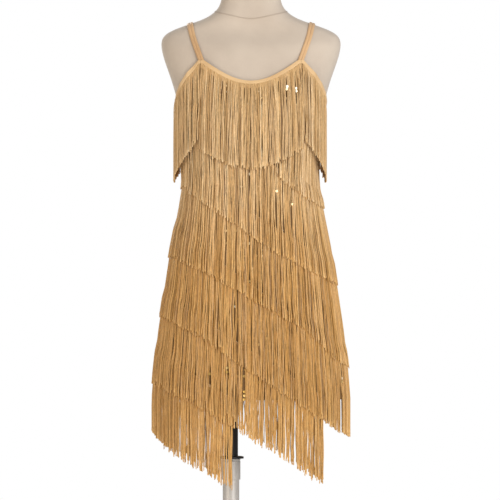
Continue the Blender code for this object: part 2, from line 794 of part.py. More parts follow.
def add_stand(black, pale):
    """Base, column, clamp, mast and socket, all on the pole's axis."""
    edge = TURNED_EDGE
    plate_top = BASE_THICKNESS
    hub_bore = COLUMN_RADIUS + SEAM
    add_turned("base", (
        (0.0, 0.0),
        (BASE_RADIUS - edge, 0.0),
        (BASE_RADIUS, edge),
        (BASE_RADIUS, plate_top - 2.0 * edge),
        (BASE_RADIUS - 2.0 * edge, plate_top),
        (HUB_RADIUS, plate_top),
        (HUB_RADIUS, HUB_HEIGHT - edge),
        (HUB_RADIUS - edge, HUB_HEIGHT),
        (hub_bore, HUB_HEIGHT),
        (hub_bore, plate_top),
        (0.0, plate_top),
    ), BASE_SIDES, pale)
    bore = MAST_RADIUS + SEAM
    add_turned("column", (
        (bore, plate_top + SEAM),
        (COLUMN_RADIUS, plate_top + SEAM),
        (COLUMN_RADIUS, COLUMN_TOP),
        (bore, COLUMN_TOP),
    ), ROUND_SIDES, pale)
    add_turned("clamp_collar", (
        (hub_bore, COLLAR_BOTTOM),
        (COLLAR_RADIUS - edge, COLLAR_BOTTOM),
        (COLLAR_RADIUS, COLLAR_BOTTOM + edge),
        (COLLAR_RADIUS, COLLAR_TOP),
        (hub_bore, COLLAR_TOP),
    ), ROUND_SIDES, pale)
    add_turned("clamp_ring", (
        (bore, COLLAR_TOP + SEAM),
        (RING_RADIUS, COLLAR_TOP + SEAM),
        (RING_RADIUS, RING_TOP - edge),
        (RING_RADIUS - edge, RING_TOP),
        (bore, RING_TOP),
    ), ROUND_SIDES, black)
    mast_top = SOCKET_BOTTOM + SOCKET_DEPTH - SEAM
    add_turned("mast", (
        (0.0, MAST_BOTTOM),
        (MAST_RADIUS, MAST_BOTTOM),
        (MAST_RADIUS, mast_top),
        (0.0, mast_top),
    ), ROUND_SIDES, black)
    add_turned("pole_socket", (
        (0.0, SOCKET_BOTTOM + SOCKET_DEPTH),
        (bore, SOCKET_BOTTOM + SOCKET_DEPTH),
        (bore, SOCKET_BOTTOM),
        (SOCKET_RADIUS - edge, SOCKET_BOTTOM),
        (SOCKET_RADIUS, SOCKET_BOTTOM + edge),
        (SOCKET_RADIUS, SOCKET_TOP),
        (0.0, SOCKET_TOP),
    ), ROUND_SIDES, black)
    add_screw(black)


def add_screw(material):
    """Head of the small screw that locks the clamp, on the collar's front."""
    sides = SCREW_SIDES
    start_y = -(COLLAR_RADIUS + SEAM)
    points = []
    for y in (start_y, start_y - SCREW_LENGTH):
        for side in range(sides):
            angle = 2.0 * math.pi * side / sides
            x = POLE_X + SCREW_RADIUS * math.cos(angle)
            points.append(Vector((x, y, SCREW_HEIGHT + SCREW_RADIUS * math.sin(angle))))
    faces = [tuple(range(sides)), tuple(range(2 * sides - 1, sides - 1, -1))]
    for side in range(sides):
        after = (side + 1) % sides
        faces.append((side, side + sides, after + sides, after))
    add_object("clamp_screw", points, faces, material, 35.0)


def build():
    """Whole model: form, stand, base cloth, edges, straps and fringe."""
    clear_scene()
    base_cloth = finish("gold_base_cloth", GOLD_CLOTH, 0.7)
    binding = finish("gold_binding", GOLD_BINDING, 0.55)
    fringe = finish("gold_fringe", GOLD_FRINGE, 0.6)
    form_cloth = finish("form_cloth", FORM_CLOTH, 0.85)
    black = finish("black_metal", BLACK_METAL, 0.4, 0.6)
    pale = finish("pale_metal", PALE_METAL, 0.45, 0.3)
    add_form(form_cloth)
    add_stand(black, pale)
    add_panel("dress_front", -1, base_cloth)
    add_panel("dress_back", 1, base_cloth)
    add_binding("neck_binding_front", neck_angles(-1), binding)
    add_binding("neck_binding_back", neck_angles(1), binding)
    add_binding("armhole_binding_right", arm_angles(False), binding)
    add_binding("armhole_binding_left", arm_angles(True), binding)
    add_strap("strap_right", 1, binding)
    add_strap("strap_left", -1, binding)
    add_all_fringe(fringe)


build()
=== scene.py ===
# %% [markdown]
# A fringed flapper dress on a limbless dress form. The solid model is loaded as a fixed
# frame, and every visible piece is made on top of it: threads of fringe hung in slanting
# rows, a sequinned base cloth, bound edges, flat straps, a covered form and a pole stand.
# Sizes are in metres. The front faces -Y, +X is to the right, and the floor is at zero.

# %% Load the frame
import math

import bmesh
import bpy
import numpy as np
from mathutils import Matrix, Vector
from mathutils.bvhtree import BVHTree


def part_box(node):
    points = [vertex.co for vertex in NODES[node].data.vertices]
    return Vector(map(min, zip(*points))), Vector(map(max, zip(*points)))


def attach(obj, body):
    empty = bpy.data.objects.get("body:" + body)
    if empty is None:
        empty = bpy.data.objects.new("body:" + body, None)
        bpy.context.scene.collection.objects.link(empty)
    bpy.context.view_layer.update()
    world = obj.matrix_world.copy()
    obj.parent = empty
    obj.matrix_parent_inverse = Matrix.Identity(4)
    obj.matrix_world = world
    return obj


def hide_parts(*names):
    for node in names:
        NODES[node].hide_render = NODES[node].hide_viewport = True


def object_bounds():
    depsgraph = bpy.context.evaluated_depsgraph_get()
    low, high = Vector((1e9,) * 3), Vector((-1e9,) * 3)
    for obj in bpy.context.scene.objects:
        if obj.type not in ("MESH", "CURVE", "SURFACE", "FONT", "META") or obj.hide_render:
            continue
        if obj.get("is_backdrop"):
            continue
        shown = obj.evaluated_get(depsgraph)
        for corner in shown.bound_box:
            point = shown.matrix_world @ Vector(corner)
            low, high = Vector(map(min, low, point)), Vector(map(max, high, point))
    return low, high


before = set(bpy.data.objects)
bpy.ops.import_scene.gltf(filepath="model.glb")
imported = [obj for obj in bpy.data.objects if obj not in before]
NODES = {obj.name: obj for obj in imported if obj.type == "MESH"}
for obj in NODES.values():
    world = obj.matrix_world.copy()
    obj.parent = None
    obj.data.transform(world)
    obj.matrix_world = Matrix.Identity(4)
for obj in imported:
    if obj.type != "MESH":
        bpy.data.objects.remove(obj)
CAD_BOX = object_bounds()
print("frame box", [round(value, 3) for corner in CAD_BOX for value in corner])

# %% [markdown]
# Every piece is started the same way, so a few helpers come first. They clear the selection,
# because an operator works on all that is selected. They name the new piece, its body and its
# material slot, and shade it smooth but keep real edges sharp.

# %% Helpers for selection and naming
def nothing_selected():
    """Leave edit mode and deselect everything."""
    if bpy.context.object and bpy.context.object.mode == "EDIT":
        bpy.ops.object.mode_set(mode="OBJECT")
    bpy.ops.object.select_all(action="DESELECT")


def pick(piece):
    """Select one piece alone and make it active."""
    nothing_selected()
    piece.select_set(True)
    bpy.context.view_layer.objects.active = piece


def settle(piece, name, body, material, angle=35.0):
    """Name a piece, shade it, give it its material, and let it ride on its body."""
    pick(piece)
    piece.name = name
    piece.data.name = name
    piece.data.materials.clear()
    piece.data.materials.append(material)
    bpy.ops.object.shade_smooth_by_angle(angle=math.radians(angle))
    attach(piece, body)
    triangles = sum(len(face.vertices) - 2 for face in piece.data.polygons)
    print(name, "on", body, "with", triangles, "triangles")
    return piece


def apply(piece, kind, **settings):
    """Give a piece a modifier with its settings and apply it."""
    modifier = piece.modifiers.new(kind.lower(), kind)
    for key, value in settings.items():
        setattr(modifier, key, value)
    bpy.ops.object.modifier_apply(modifier=modifier.name)


def normals_outwards():
    """Point all the faces of the active piece outwards."""
    bpy.ops.object.mode_set(mode="EDIT")
    bpy.ops.mesh.select_all(action="SELECT")
    bpy.ops.mesh.normals_make_consistent(inside=False)
    bpy.ops.object.mode_set(mode="OBJECT")


def edit_end_face(piece, axis, sign):
    """Enter edit mode with one face selected: the last one along an axis, either way."""
    bpy.ops.object.mode_set(mode="EDIT")
    bpy.ops.mesh.select_mode(type="FACE")
    bpy.ops.mesh.select_all(action="DESELECT")
    work = bmesh.from_edit_mesh(piece.data)
    end = max(work.faces, key=lambda face: sign * face.calc_center_median()[axis])
    end.select = True
    bmesh.update_edit_mesh(piece.data)

# %% [markdown]
# Materials are node trees, built with a few helpers so that a recipe reads from top to
# bottom. Patterns read Object coordinates, or an attribute stored on the piece.

# %% Helpers for materials
def new_material(name, roughness, metallic=0.0, specular=0.5):
    """Material with a Principled shader; returns it with its tree and shader."""
    material = bpy.data.materials.new(name)
    material.use_nodes = True
    tree = material.node_tree
    shader = tree.nodes["Principled BSDF"]
    shader.inputs["Roughness"].default_value = roughness
    shader.inputs["Metallic"].default_value = metallic
    shader.inputs["Specular IOR Level"].default_value = specular
    return material, tree, shader


def add_node(tree, kind, inputs=None, **settings):
    """One node with its settings and its unlinked input values."""
    node = tree.nodes.new(kind)
    for key, value in settings.items():
        setattr(node, key, value)
    for key, value in (inputs or {}).items():
        node.inputs[key].default_value = value
    return node


def link(source, output, target, socket):
    """Lead a node's output into another node's input."""
    source.id_data.links.new(source.outputs[output], target.inputs[socket])


def ramp(source, output, stops):
    """Colour ramp with (place, colour) stops, fed by a node's output."""
    node = add_node(source.id_data, "ShaderNodeValToRGB")
    while len(node.color_ramp.elements) < len(stops):
        node.color_ramp.elements.new(0.5)
    for element, (place, colour) in zip(node.color_ramp.elements, stops):
        element.position = place
        element.color = (*colour, 1.0)
    link(source, output, node, "Fac")
    return node


def object_scale(tree, scale):
    """Mapping of Object coordinates, stretched by a scale on each axis."""
    place = add_node(tree, "ShaderNodeTexCoord")
    mapping = add_node(tree, "ShaderNodeMapping", {"Scale": scale})
    link(place, "Object", mapping, "Vector")
    return mapping


def bump(source, output, shader, distance, strength):
    """Bump from a node's output into a shader's normal."""
    node = add_node(shader.id_data, "ShaderNodeBump", {"Distance": distance, "Strength": strength})
    link(source, output, node, "Height")
    link(node, "Normal", shader, "Normal")

# %% [markdown]
# The fringe is made of smooth rayon threads. Each stores its own tint: those deep in a row
# are painted darker, a painted shade for the shadow of the threads in front, so that these
# stand out one by one. The lower rows are painted a warmer gold than the upper ones, which
# stands in for the warmer light that falls on them. A noise stretched along the thread
# lightens and darkens its colour in painted soft glints, and a fine slanting wave gives the
# twist of the yarn.

# %% Material of the fringe threads
# LOWER_GOLD is a warmer gold than UPPER_GOLD: painted warm light on the lower rows, whole below
# WARM_BELOW and blended out by PALE_ABOVE.
UPPER_GOLD = ((0.0, (0.16, 0.080, 0.027)), (0.35, (0.465, 0.275, 0.110)),
              (0.7, (0.70, 0.457, 0.211)), (1.0, (0.905, 0.665, 0.378)))
LOWER_GOLD = ((0.0, (0.16, 0.072, 0.016)), (0.35, (0.44, 0.222, 0.056)),
              (0.7, (0.63, 0.350, 0.106)), (1.0, (0.83, 0.520, 0.203)))
WARM_BELOW = 0.84
PALE_ABOVE = 1.12
YARN_TWIST = 0.0011
GLINT_SIZE = 0.0022
GLINT_STRETCH = 0.36

fringe_gold, tree, shader = new_material("rayon_fringe", 0.42)
shader.inputs["Sheen Weight"].default_value = 0.2
shader.inputs["Sheen Roughness"].default_value = 0.4
shader.inputs["Sheen Tint"].default_value = (1.0, 0.86, 0.62, 1.0)
tint = add_node(tree, "ShaderNodeAttribute", attribute_name="tint")
place = add_node(tree, "ShaderNodeTexCoord")
axes = add_node(tree, "ShaderNodeSeparateXYZ")
link(place, "Object", axes, "Vector")
share = add_node(tree, "ShaderNodeMapRange", {"From Min": WARM_BELOW, "From Max": PALE_ABOVE},
                 interpolation_type="SMOOTHSTEP")
link(axes, "Z", share, "Value")
blend = add_node(tree, "ShaderNodeMix", data_type="RGBA")
link(share, "Result", blend, "Factor")
link(ramp(tint, "Fac", LOWER_GOLD), "Color", blend, "A")
link(ramp(tint, "Fac", UPPER_GOLD), "Color", blend, "B")
# Painted glints: a noise stretched along the thread makes its colour lighter and darker in streaks.
painted_glints = add_node(tree, "ShaderNodeTexNoise", {"Scale": 1.0 / GLINT_SIZE, "Detail": 1.0})
link(object_scale(tree, (1.0, 1.0, GLINT_STRETCH)), "Vector", painted_glints, "Vector")
value = add_node(tree, "ShaderNodeMapRange",
                 {"From Min": 0.3, "From Max": 0.7, "To Min": 0.87, "To Max": 1.13})
link(painted_glints, "Fac", value, "Value")
shade = add_node(tree, "ShaderNodeHueSaturation")
link(value, "Result", shade, "Value")
link(blend, "Result", shade, "Color")
link(shade, "Color", shader, "Base Color")
twist = add_node(tree, "ShaderNodeTexWave", {"Scale": 1.0 / YARN_TWIST / math.pi},
                 bands_direction="DIAGONAL")
link(object_scale(tree, (0.25, 0.25, 1.0)), "Vector", twist, "Vector")
bump(twist, "Fac", shader, distance=0.0002, strength=0.5)

# %% [markdown]
# Two waves at right angles, multiplied, make the over and under of a plain weave, and a soft
# noise varies its colour. The same recipe serves the dress's base cloth, its bindings, the
# straps and the cover of the form.

# %% Materials of the cloths
WEAVE_CONTRAST = 0.45
CLOUD_SCALE = 14.0


def woven_material(name, dark, light, pitch, roughness, sheen, relief):
    """Plain-weave cloth between two colours, with its thread pitch in metres."""
    material, tree, shader = new_material(name, roughness, 0.0, 0.3)
    shader.inputs["Sheen Weight"].default_value = sheen
    shader.inputs["Sheen Roughness"].default_value = 0.5
    wave = {"Scale": 1.0 / pitch / math.pi, "Distortion": 0.6}
    warp = add_node(tree, "ShaderNodeTexWave", wave, bands_direction="X")
    weft = add_node(tree, "ShaderNodeTexWave", wave, bands_direction="Z")
    cloud = add_node(tree, "ShaderNodeTexNoise", {"Scale": CLOUD_SCALE, "Detail": 4.0})
    place = object_scale(tree, (1.0, 1.0, 1.0))
    for node in (warp, weft, cloud):
        link(place, "Vector", node, "Vector")
    weave = add_node(tree, "ShaderNodeMath", operation="MULTIPLY")
    link(warp, "Fac", weave, 0)
    link(weft, "Fac", weave, 1)
    total = add_node(tree, "ShaderNodeMath", {1: WEAVE_CONTRAST}, operation="MULTIPLY_ADD")
    link(weave, "Value", total, 0)
    link(cloud, "Fac", total, 2)
    link(ramp(total, "Value", ((0.30, dark), (0.85, light))), "Color", shader, "Base Color")
    bump(weave, "Value", shader, relief, strength=0.6)
    return material


CLOTHS = (
    # name, dark colour, light colour, thread pitch, roughness, sheen, relief
    # The base cloth keeps its gold-brown hue but is painted much darker: painted shade for the shadow
    # that the fringe casts on it.
    ("gold_base_cloth", (0.12, 0.058, 0.018), (0.24, 0.130, 0.045), 0.0009, 0.6, 0.1, 0.0003),
    ("gold_satin", (0.61, 0.375, 0.17), (0.84, 0.58, 0.31), 0.0007, 0.42, 0.25, 0.0002),
    ("form_cover", (0.54, 0.445, 0.36), (0.66, 0.56, 0.46), 0.0012, 0.85, 0.3, 0.0003),
    ("strap_satin", (0.535, 0.31, 0.142), (0.79, 0.51, 0.272), 0.0007, 0.45, 0.25, 0.0002),
    # The seam is the cover's jersey painted darker: painted shade for the groove of the seam.
    ("form_seam", (0.43, 0.345, 0.27), (0.54, 0.445, 0.36), 0.0012, 0.85, 0.3, 0.0003),
)
base_cloth, binding_satin, form_jersey, strap_satin, seam_jersey = (
    woven_material(*row) for row in CLOTHS)
stitch_gold, tree, shader = new_material("stitch_thread", 0.5)
shader.inputs["Base Color"].default_value = (0.64, 0.42, 0.20, 1.0)

# %% [markdown]
# The stand has two finishes: black powder coat, which has a very fine grain, and a pale
# lacquer with faint rubbed streaks. Noise in the roughness keeps the highlights uneven.

# %% Materials of the stand
def lacquer_material(name, colour, low, high, grain, relief, metallic):
    """Painted metal with a grain size in metres and a range of roughness."""
    material, tree, shader = new_material(name, low, metallic)
    noise = add_node(tree, "ShaderNodeTexNoise", {"Scale": 1.0 / grain, "Detail": 5.0})
    link(object_scale(tree, (1.0, 1.0, 0.35)), "Vector", noise, "Vector")
    spread = add_node(tree, "ShaderNodeMapRange", {"To Min": low, "To Max": high})
    link(noise, "Fac", spread, "Value")
    link(spread, "Result", shader, "Roughness")
    lighter = tuple(value * 1.12 + 0.004 for value in colour)
    link(ramp(noise, "Fac", ((0.35, colour), (0.7, lighter))), "Color", shader, "Base Color")
    bump(noise, "Fac", shader, relief, strength=0.5)
    return material


black_coat = lacquer_material(
    "black_powder_coat", (0.010, 0.010, 0.011), 0.30, 0.50, 0.0012, 0.0002, 0.2)
pale_lacquer = lacquer_material(
    "pale_lacquer", (0.525, 0.50, 0.47), 0.28, 0.44, 0.012, 0.0001, 0.1)

# %% [markdown]
# Sequins are tiny mirrors. Each stores a tone from gold to silver. Gold ones are duller, so
# that a highlight on them stays gold and does not burn out to white.

# %% Material of the sequins
SEQUIN_TONES = ((0.0, (0.42, 0.235, 0.045)), (0.5, (0.60, 0.42, 0.19)), (1.0, (0.86, 0.80, 0.66)))
sequin_foil, tree, shader = new_material("sequin_foil", 0.2, 0.9, 0.6)
silver = add_node(tree, "ShaderNodeAttribute", attribute_name="tint")
link(ramp(silver, "Fac", SEQUIN_TONES), "Color", shader, "Base Color")
dullness = add_node(tree, "ShaderNodeMapRange", {"To Min": 0.42, "To Max": 0.26})
link(silver, "Fac", dullness, "Value")
link(dullness, "Result", shader, "Roughness")
print("made", len(bpy.data.materials), "materials")

# %% [markdown]
# Pieces that lie on the dress need its surface. Rays shot inwards at the solid walls give
# the cloth's radius at any angle and height. The walls' highest points give the cut edge.

# %% Measure the dress
SEAM_TURN = 0.003
HEM_INSET = 0.0004
EDGE_INSET = 0.0006


def tree_of(*names):
    """Search tree over the triangles of some nodes or pieces."""
    points = []
    faces = []
    for name in names:
        mesh = bpy.data.objects[name].data
        start = len(points)
        points.extend(vertex.co.copy() for vertex in mesh.vertices)
        faces.extend([start + index for index in face.vertices] for face in mesh.polygons)
    return BVHTree.FromPolygons(points, faces)


def ray_radius(search, angle, height, start=0.5):
    """Radius at which a level ray towards the Z axis first meets a surface, or None."""
    outward = Vector((math.cos(angle), math.sin(angle), 0.0))
    hit = search.ray_cast(outward * start + Vector((0.0, 0.0, height)), -outward, start)
    return hit[0].xy.length if hit[0] else None


def columns_of(name):
    """Angle and height of every point of a node, as two arrays."""
    points = np.array([vertex.co[:] for vertex in NODES[name].data.vertices])
    return np.arctan2(points[:, 1], points[:, 0]), points[:, 2]


def top_line(names, window, drop):
    """Highest point at each angle, kept if near the top of all within the window."""
    angles, heights = np.concatenate([columns_of(name) for name in names], axis=1)
    keys = np.round(angles, 4)
    line = np.array([(key, heights[keys == key].max()) for key in np.unique(keys)])
    kept = []
    for angle, height in line:
        apart = np.abs((line[:, 0] - angle + math.pi) % math.tau - math.pi)
        if height >= line[apart <= window, 1].max() - drop:
            kept.append((angle, height))
    return np.array(kept)


WALL_TREE = tree_of("dress_front", "dress_back")
EDGE_LINE = top_line(("dress_front", "dress_back"), window=0.0001, drop=0.001)
HEM_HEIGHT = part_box("dress_front")[0].z


def edge_height(angle):
    """Height of the dress's cut edge at an angle."""
    return float(np.interp(angle, EDGE_LINE[:, 0], EDGE_LINE[:, 1], period=math.tau))


def wall_radius(angle, height):
    """Radius of the cloth's outside at an angle and a height, kept within the wall."""
    if abs(math.sin(angle)) < SEAM_TURN:
        angle += 2.0 * SEAM_TURN
    inside = min(max(height, HEM_HEIGHT + HEM_INSET), edge_height(angle) - EDGE_INSET)
    return ray_radius(WALL_TREE, angle, inside)


def polar(angle, radius, height):
    """Point at an angle and radius about the Z axis."""
    return Vector((radius * math.cos(angle), radius * math.sin(angle), height))


print("edge from", round(EDGE_LINE[:, 1].min(), 3), "to", round(EDGE_LINE[:, 1].max(), 3))

# %% [markdown]
# A cloth piece starts as a flat grid. Each of its points has a place from 0 to 1 across
# and along, and a rule bends that place onto the dress. Solidify gives the thickness.

# %% Helper for cloth strips
def bent_grid(name, across, along, rule, thickness, material, side=1.0):
    """Grid bent by a rule(u, v) and given a thickness on its outer (1) or inner (-1) side."""
    nothing_selected()
    bpy.ops.mesh.primitive_grid_add(x_subdivisions=across, y_subdivisions=along, size=2.0)
    piece = bpy.context.object
    for vertex in piece.data.vertices:
        vertex.co = rule((vertex.co.x + 1.0) / 2.0, (vertex.co.y + 1.0) / 2.0)
    normals_outwards()
    centre = piece.data.polygons[len(piece.data.polygons) // 2]
    faces_out = centre.normal.dot(centre.center - Vector((0.0, 0.0, centre.center.z))) > 0.0
    apply(piece, "SOLIDIFY", thickness=thickness, offset=side if faces_out else -side)
    normals_outwards()
    return settle(piece, name, "figure", material)

# %% [markdown]
# The base cloth hangs from the straps as two panels joined at the sides. It is thin, and
# below the hips it falls in a few soft flutes of uneven width. It stays within the wall
# that carries it, so the fringe lies on it without poking through.

# %% Base cloth of the dress
CLOTH_THICKNESS = 0.0011
CLOTH_INSET = 0.0002
FLUTES = 17
FLUTE_DEPTH = 0.0016
FLUTES_BELOW = 0.82
FLUTES_OVER = 0.2
SEAM_ANGLE = 0.0016


def panel_rule(side):
    """Rule that bends a grid into the front (-1) or back (+1) panel."""
    def rule(u, v):
        angle = side * (SEAM_ANGLE + (math.pi - 2.0 * SEAM_ANGLE) * u)
        top = edge_height(angle) - CLOTH_INSET
        height = HEM_HEIGHT + (top - HEM_HEIGHT) * v
        slack = max(0.0, FLUTES_BELOW - height) / FLUTES_OVER
        wave = 0.5 + 0.5 * math.sin(FLUTES * angle + 1.3 * math.sin(3.0 * angle))
        radius = wall_radius(angle, height) - FLUTE_DEPTH * slack * wave - CLOTH_INSET
        return polar(angle, radius, height)
    return rule


panels = []
for name, node, side in (("front_panel", "dress_front", -1.0), ("back_panel", "dress_back", 1.0)):
    panel = bent_grid(name, 96, 60, panel_rule(side), CLOTH_THICKNESS, base_cloth, -1.0)
    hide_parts(node)
    panels.append(panel)

# %% [markdown]
# The form is a padded torso under a tight jersey cover. The solid model's points are merged
# into one skin, and a Subdivision Surface rounds it, so that the shoulders' ends and the
# neck are smooth. A low seam runs round the foot of the neck.

# %% Cover of the form
nothing_selected()
cover = NODES["form_body"].copy()
cover.data = cover.data.copy()
bpy.context.scene.collection.objects.link(cover)
cover.parent = None
for key in list(cover.keys()):
    del cover[key]
pick(cover)
bpy.ops.object.mode_set(mode="EDIT")
bpy.ops.mesh.select_all(action="SELECT")
bpy.ops.mesh.remove_doubles(threshold=0.00005)
bpy.ops.mesh.tris_convert_to_quads(face_threshold=math.radians(60), shape_threshold=math.radians(60))
bpy.ops.object.mode_set(mode="OBJECT")
apply(cover, "SUBSURF", levels=2, render_levels=2)
settle(cover, "form_cover", "figure", form_jersey, angle=60.0)
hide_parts("form_body")
COVER_TREE = tree_of("form_cover")

# %% Seam round the foot of the neck
SEAM_WIDTH = 0.0022
SEAM_THICKNESS = 0.0004
SEAM_LIFT = 0.0001
SEAM_ROLL = 0.0003
NECK_SEAM_FRONT = 1.380
NECK_SEAM_SIDE = 1.396
NECK_SEAM_BACK = 1.402


def neck_seam_rule(u, v):
    """Closed ring at the foot of the neck, lowest at the front."""
    angle = -math.pi / 2.0 + math.tau * u
    low = NECK_SEAM_FRONT if math.sin(angle) < 0.0 else NECK_SEAM_BACK
    height = NECK_SEAM_SIDE + (low - NECK_SEAM_SIDE) * math.sin(angle) ** 2
    height += SEAM_WIDTH * (v - 0.5)
    lift = SEAM_LIFT + SEAM_ROLL * math.sin(math.pi * v)
    return polar(angle, ray_radius(COVER_TREE, angle, height) + lift, height)


bent_grid("neck_seam", 120, 4, neck_seam_rule, SEAM_THICKNESS, seam_jersey)

# %% [markdown]
# A bound edge is a folded strip of satin: flat where it is stitched down, rounded where it
# turns over the edge. The strip follows the cut edge and keeps its width square to it, so
# where the edge is steep it reaches further down. Small stitches run along its lower side.

# %% Bindings of the neck and armholes
BINDING_WIDTH = 0.0062
BINDING_THICKNESS = 0.0007
BINDING_ROLL = 0.0005
BINDING_LIFT = 0.0002
BINDING_RISE = 0.0004
STEEPEST = 1.6
SLOPE_STEP = 0.02


def width_down(angle, width):
    """Drop in height that keeps a strip's width square to a slanting edge."""
    rise = edge_height(angle + SLOPE_STEP) - edge_height(angle - SLOPE_STEP)
    run = 2.0 * SLOPE_STEP * wall_radius(angle, edge_height(angle))
    slope = min(abs(rise / run), STEEPEST)
    return width * math.sqrt(1.0 + slope * slope)


def binding_rule(first, last):
    """Rule for a binding between two angles: v runs from its lower side to the edge."""
    def rule(u, v):
        angle = first + (last - first) * u
        top = edge_height(angle)
        height = top - width_down(angle, BINDING_WIDTH) * (1.0 - v)
        roll = BINDING_ROLL * math.sin(math.pi * v ** 0.75) ** 0.8 if 0.0 < v < 1.0 else 0.0
        radius = wall_radius(angle, height) + BINDING_LIFT + roll
        return polar(angle, radius, height + BINDING_RISE * v)
    return rule


def span_of(name):
    """First and last angle of a node; one that crosses the -X side runs past pi."""
    angles = columns_of(name)[0]
    if angles.max() - angles.min() > math.pi:
        angles = angles % math.tau
    return float(angles.min()), float(angles.max())


BINDING_NODES = ("neck_binding_front", "neck_binding_back",
                 "armhole_binding_left", "armhole_binding_right")
for node in BINDING_NODES:
    first, last = span_of(node)
    strip = bent_grid(node.replace("binding", "satin"), 90, 6, binding_rule(first, last),
                      BINDING_THICKNESS, binding_satin)
    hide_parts(node)

# %% [markdown]
# Each strap is two soft satin rolls side by side, stitched together along the channel
# between them. Its path is found with rays from a line inside the shoulder, tilted from the
# front, over the top, to the back.

# %% Straps over the shoulders
STRAP_WIDTH = 0.0105
STRAP_THICKNESS = 0.0009
STRAP_FRONT_X = 0.099
STRAP_BACK_X = 0.092
STRAP_TOP_X = 0.1225
STRAP_ROLL = 0.0014
STRAP_LINE_HEIGHT = 1.290
STRAP_TILT = 0.075
STRAP_LIFT = 0.0011
STRAP_END_LIFT = 0.0024
STRAP_RAY = 0.3


def strap_point(mirror, u, offset, lift):
    """Point on a strap: u runs from front to back, offset across, lift off the form."""
    over = math.sin(math.pi * u)
    x = STRAP_FRONT_X + (STRAP_BACK_X - STRAP_FRONT_X) * u
    x += (STRAP_TOP_X - (STRAP_FRONT_X + STRAP_BACK_X) / 2.0) * over + offset
    tilt = STRAP_TILT + (math.pi - 2.0 * STRAP_TILT) * u
    outward = Vector((0.0, -math.cos(tilt), math.sin(tilt)))
    start = Vector((mirror * x, 0.0, STRAP_LINE_HEIGHT))
    hit = COVER_TREE.ray_cast(start + outward * STRAP_RAY, -outward, STRAP_RAY)[0]
    return hit + outward * (lift + STRAP_END_LIFT * (1.0 - over) ** 3)


def strap_rule(mirror):
    """Rule for a strap with two rolls and a channel across its width."""
    def rule(u, v):
        across = 2.0 * v - 1.0
        roll = STRAP_ROLL * abs(math.sin(math.pi * across)) ** 0.7
        return strap_point(mirror, u, across * STRAP_WIDTH / 2.0, STRAP_LIFT + roll)
    return rule


for side, mirror in (("right", 1.0), ("left", -1.0)):
    strap = bent_grid("satin_strap_" + side, 70, 16, strap_rule(mirror), STRAP_THICKNESS,
                      strap_satin, -1.0)
    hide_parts("strap_" + side)

# %% [markdown]
# One mesh holds the hundreds of stitches. Each is a short thread with pointed ends, laid
# along its seam and sunk a little into the cloth.

# %% Stitches along the straps and bindings
STITCH_LENGTH = 0.0021
STITCH_PITCH = 0.0034
STITCH_RADIUS = 0.00024
STRAP_STITCH_LIFT = 0.0003
EDGE_STITCH_LIFT = 0.0014
stitch_points = []
stitch_faces = []


def joined_mesh(name, points, faces, attributes=None):
    """One mesh object from lists of points and faces, with float attributes."""
    mesh = bpy.data.meshes.new(name)
    mesh.from_pydata(points, [], faces)
    for key, values in (attributes or {}).items():
        layer = mesh.attributes.new(key, "FLOAT", "POINT")
        layer.data.foreach_set("value", values)
    mesh.update()
    piece = bpy.data.objects.new(name, mesh)
    bpy.context.scene.collection.objects.link(piece)
    return piece


def add_stitches(path, normals):
    """Add stitches along a path of points to the lists of points and faces."""
    travelled = 0.0
    for before, after, normal in zip(path, path[1:], normals):
        travelled += (after - before).length
        if travelled < STITCH_PITCH:
            continue
        travelled = 0.0
        along = (after - before).normalized()
        aside = along.cross(normal).normalized()
        start = len(stitch_points)
        stitch_points.append(before - along * STITCH_LENGTH / 2.0)
        for turn in range(4):
            angle = math.pi * (0.25 + 0.5 * turn)
            around = aside * math.cos(angle) + normal * math.sin(angle)
            stitch_points.append(before + around * STITCH_RADIUS)
        stitch_points.append(before + along * STITCH_LENGTH / 2.0)
        for this in range(1, 5):
            following = this % 4 + 1
            stitch_faces.append((start, start + following, start + this))
            stitch_faces.append((start + 5, start + this, start + following))


for mirror in (1.0, -1.0):
    lift = STRAP_LIFT + STRAP_STITCH_LIFT
    line = [strap_point(mirror, i / 500.0, 0.0, lift) for i in range(8, 493)]
    add_stitches(line, [Vector((0.0, point.y, point.z - STRAP_LINE_HEIGHT)).normalized()
                        for point in line])
for node in BINDING_NODES:
    first, last = span_of(node)
    line = []
    for i in range(700):
        angle = first + (last - first) * (0.01 + 0.98 * i / 699.0)
        height = edge_height(angle) - width_down(angle, BINDING_WIDTH) * 0.5
        line.append(polar(angle, wall_radius(angle, height) + EDGE_STITCH_LIFT, height))
    add_stitches(line, [Vector((point.x, point.y, 0.0)).normalized() for point in line])
stitches = joined_mesh("edge_stitches", stitch_points, stitch_faces)
settle(stitches, "edge_stitches", "figure", stitch_gold, angle=60.0)

# %% [markdown]
# The base cloth is scattered with sequins in staggered rows, mostly silver at the top and
# gold below: eight-sided cups with a thin rim. They flash only where the fringe parts, and
# the ones that the photo shows there are placed one by one and lean to the light.

# %% Sequins on the base cloth
SEQUIN_RADIUS = 0.0029
SEQUIN_CUP = 0.0004
SEQUIN_THICKNESS = 0.00022
SEQUIN_LIFT = 0.00035
SEQUIN_PITCH = 0.0125
SEQUIN_SIDES = 8
SEQUIN_SHARE = 0.30
SEQUIN_MARGIN = 0.016
ROUND_HIGHEST = 1.2
ROUND_SHARE = 1.15
SILVER_FROM = 0.72
SILVER_OVER = 0.42
SHOWN_LIFT = 0.0024
SHOWN_LEAN = 0.5
KEY_PLACE = (2.15, -2.95, 1.8)
VIEWER_PLACE = (0.0, -12.0, 0.919)
UP = Vector((0.0, 0.0, 1.0))
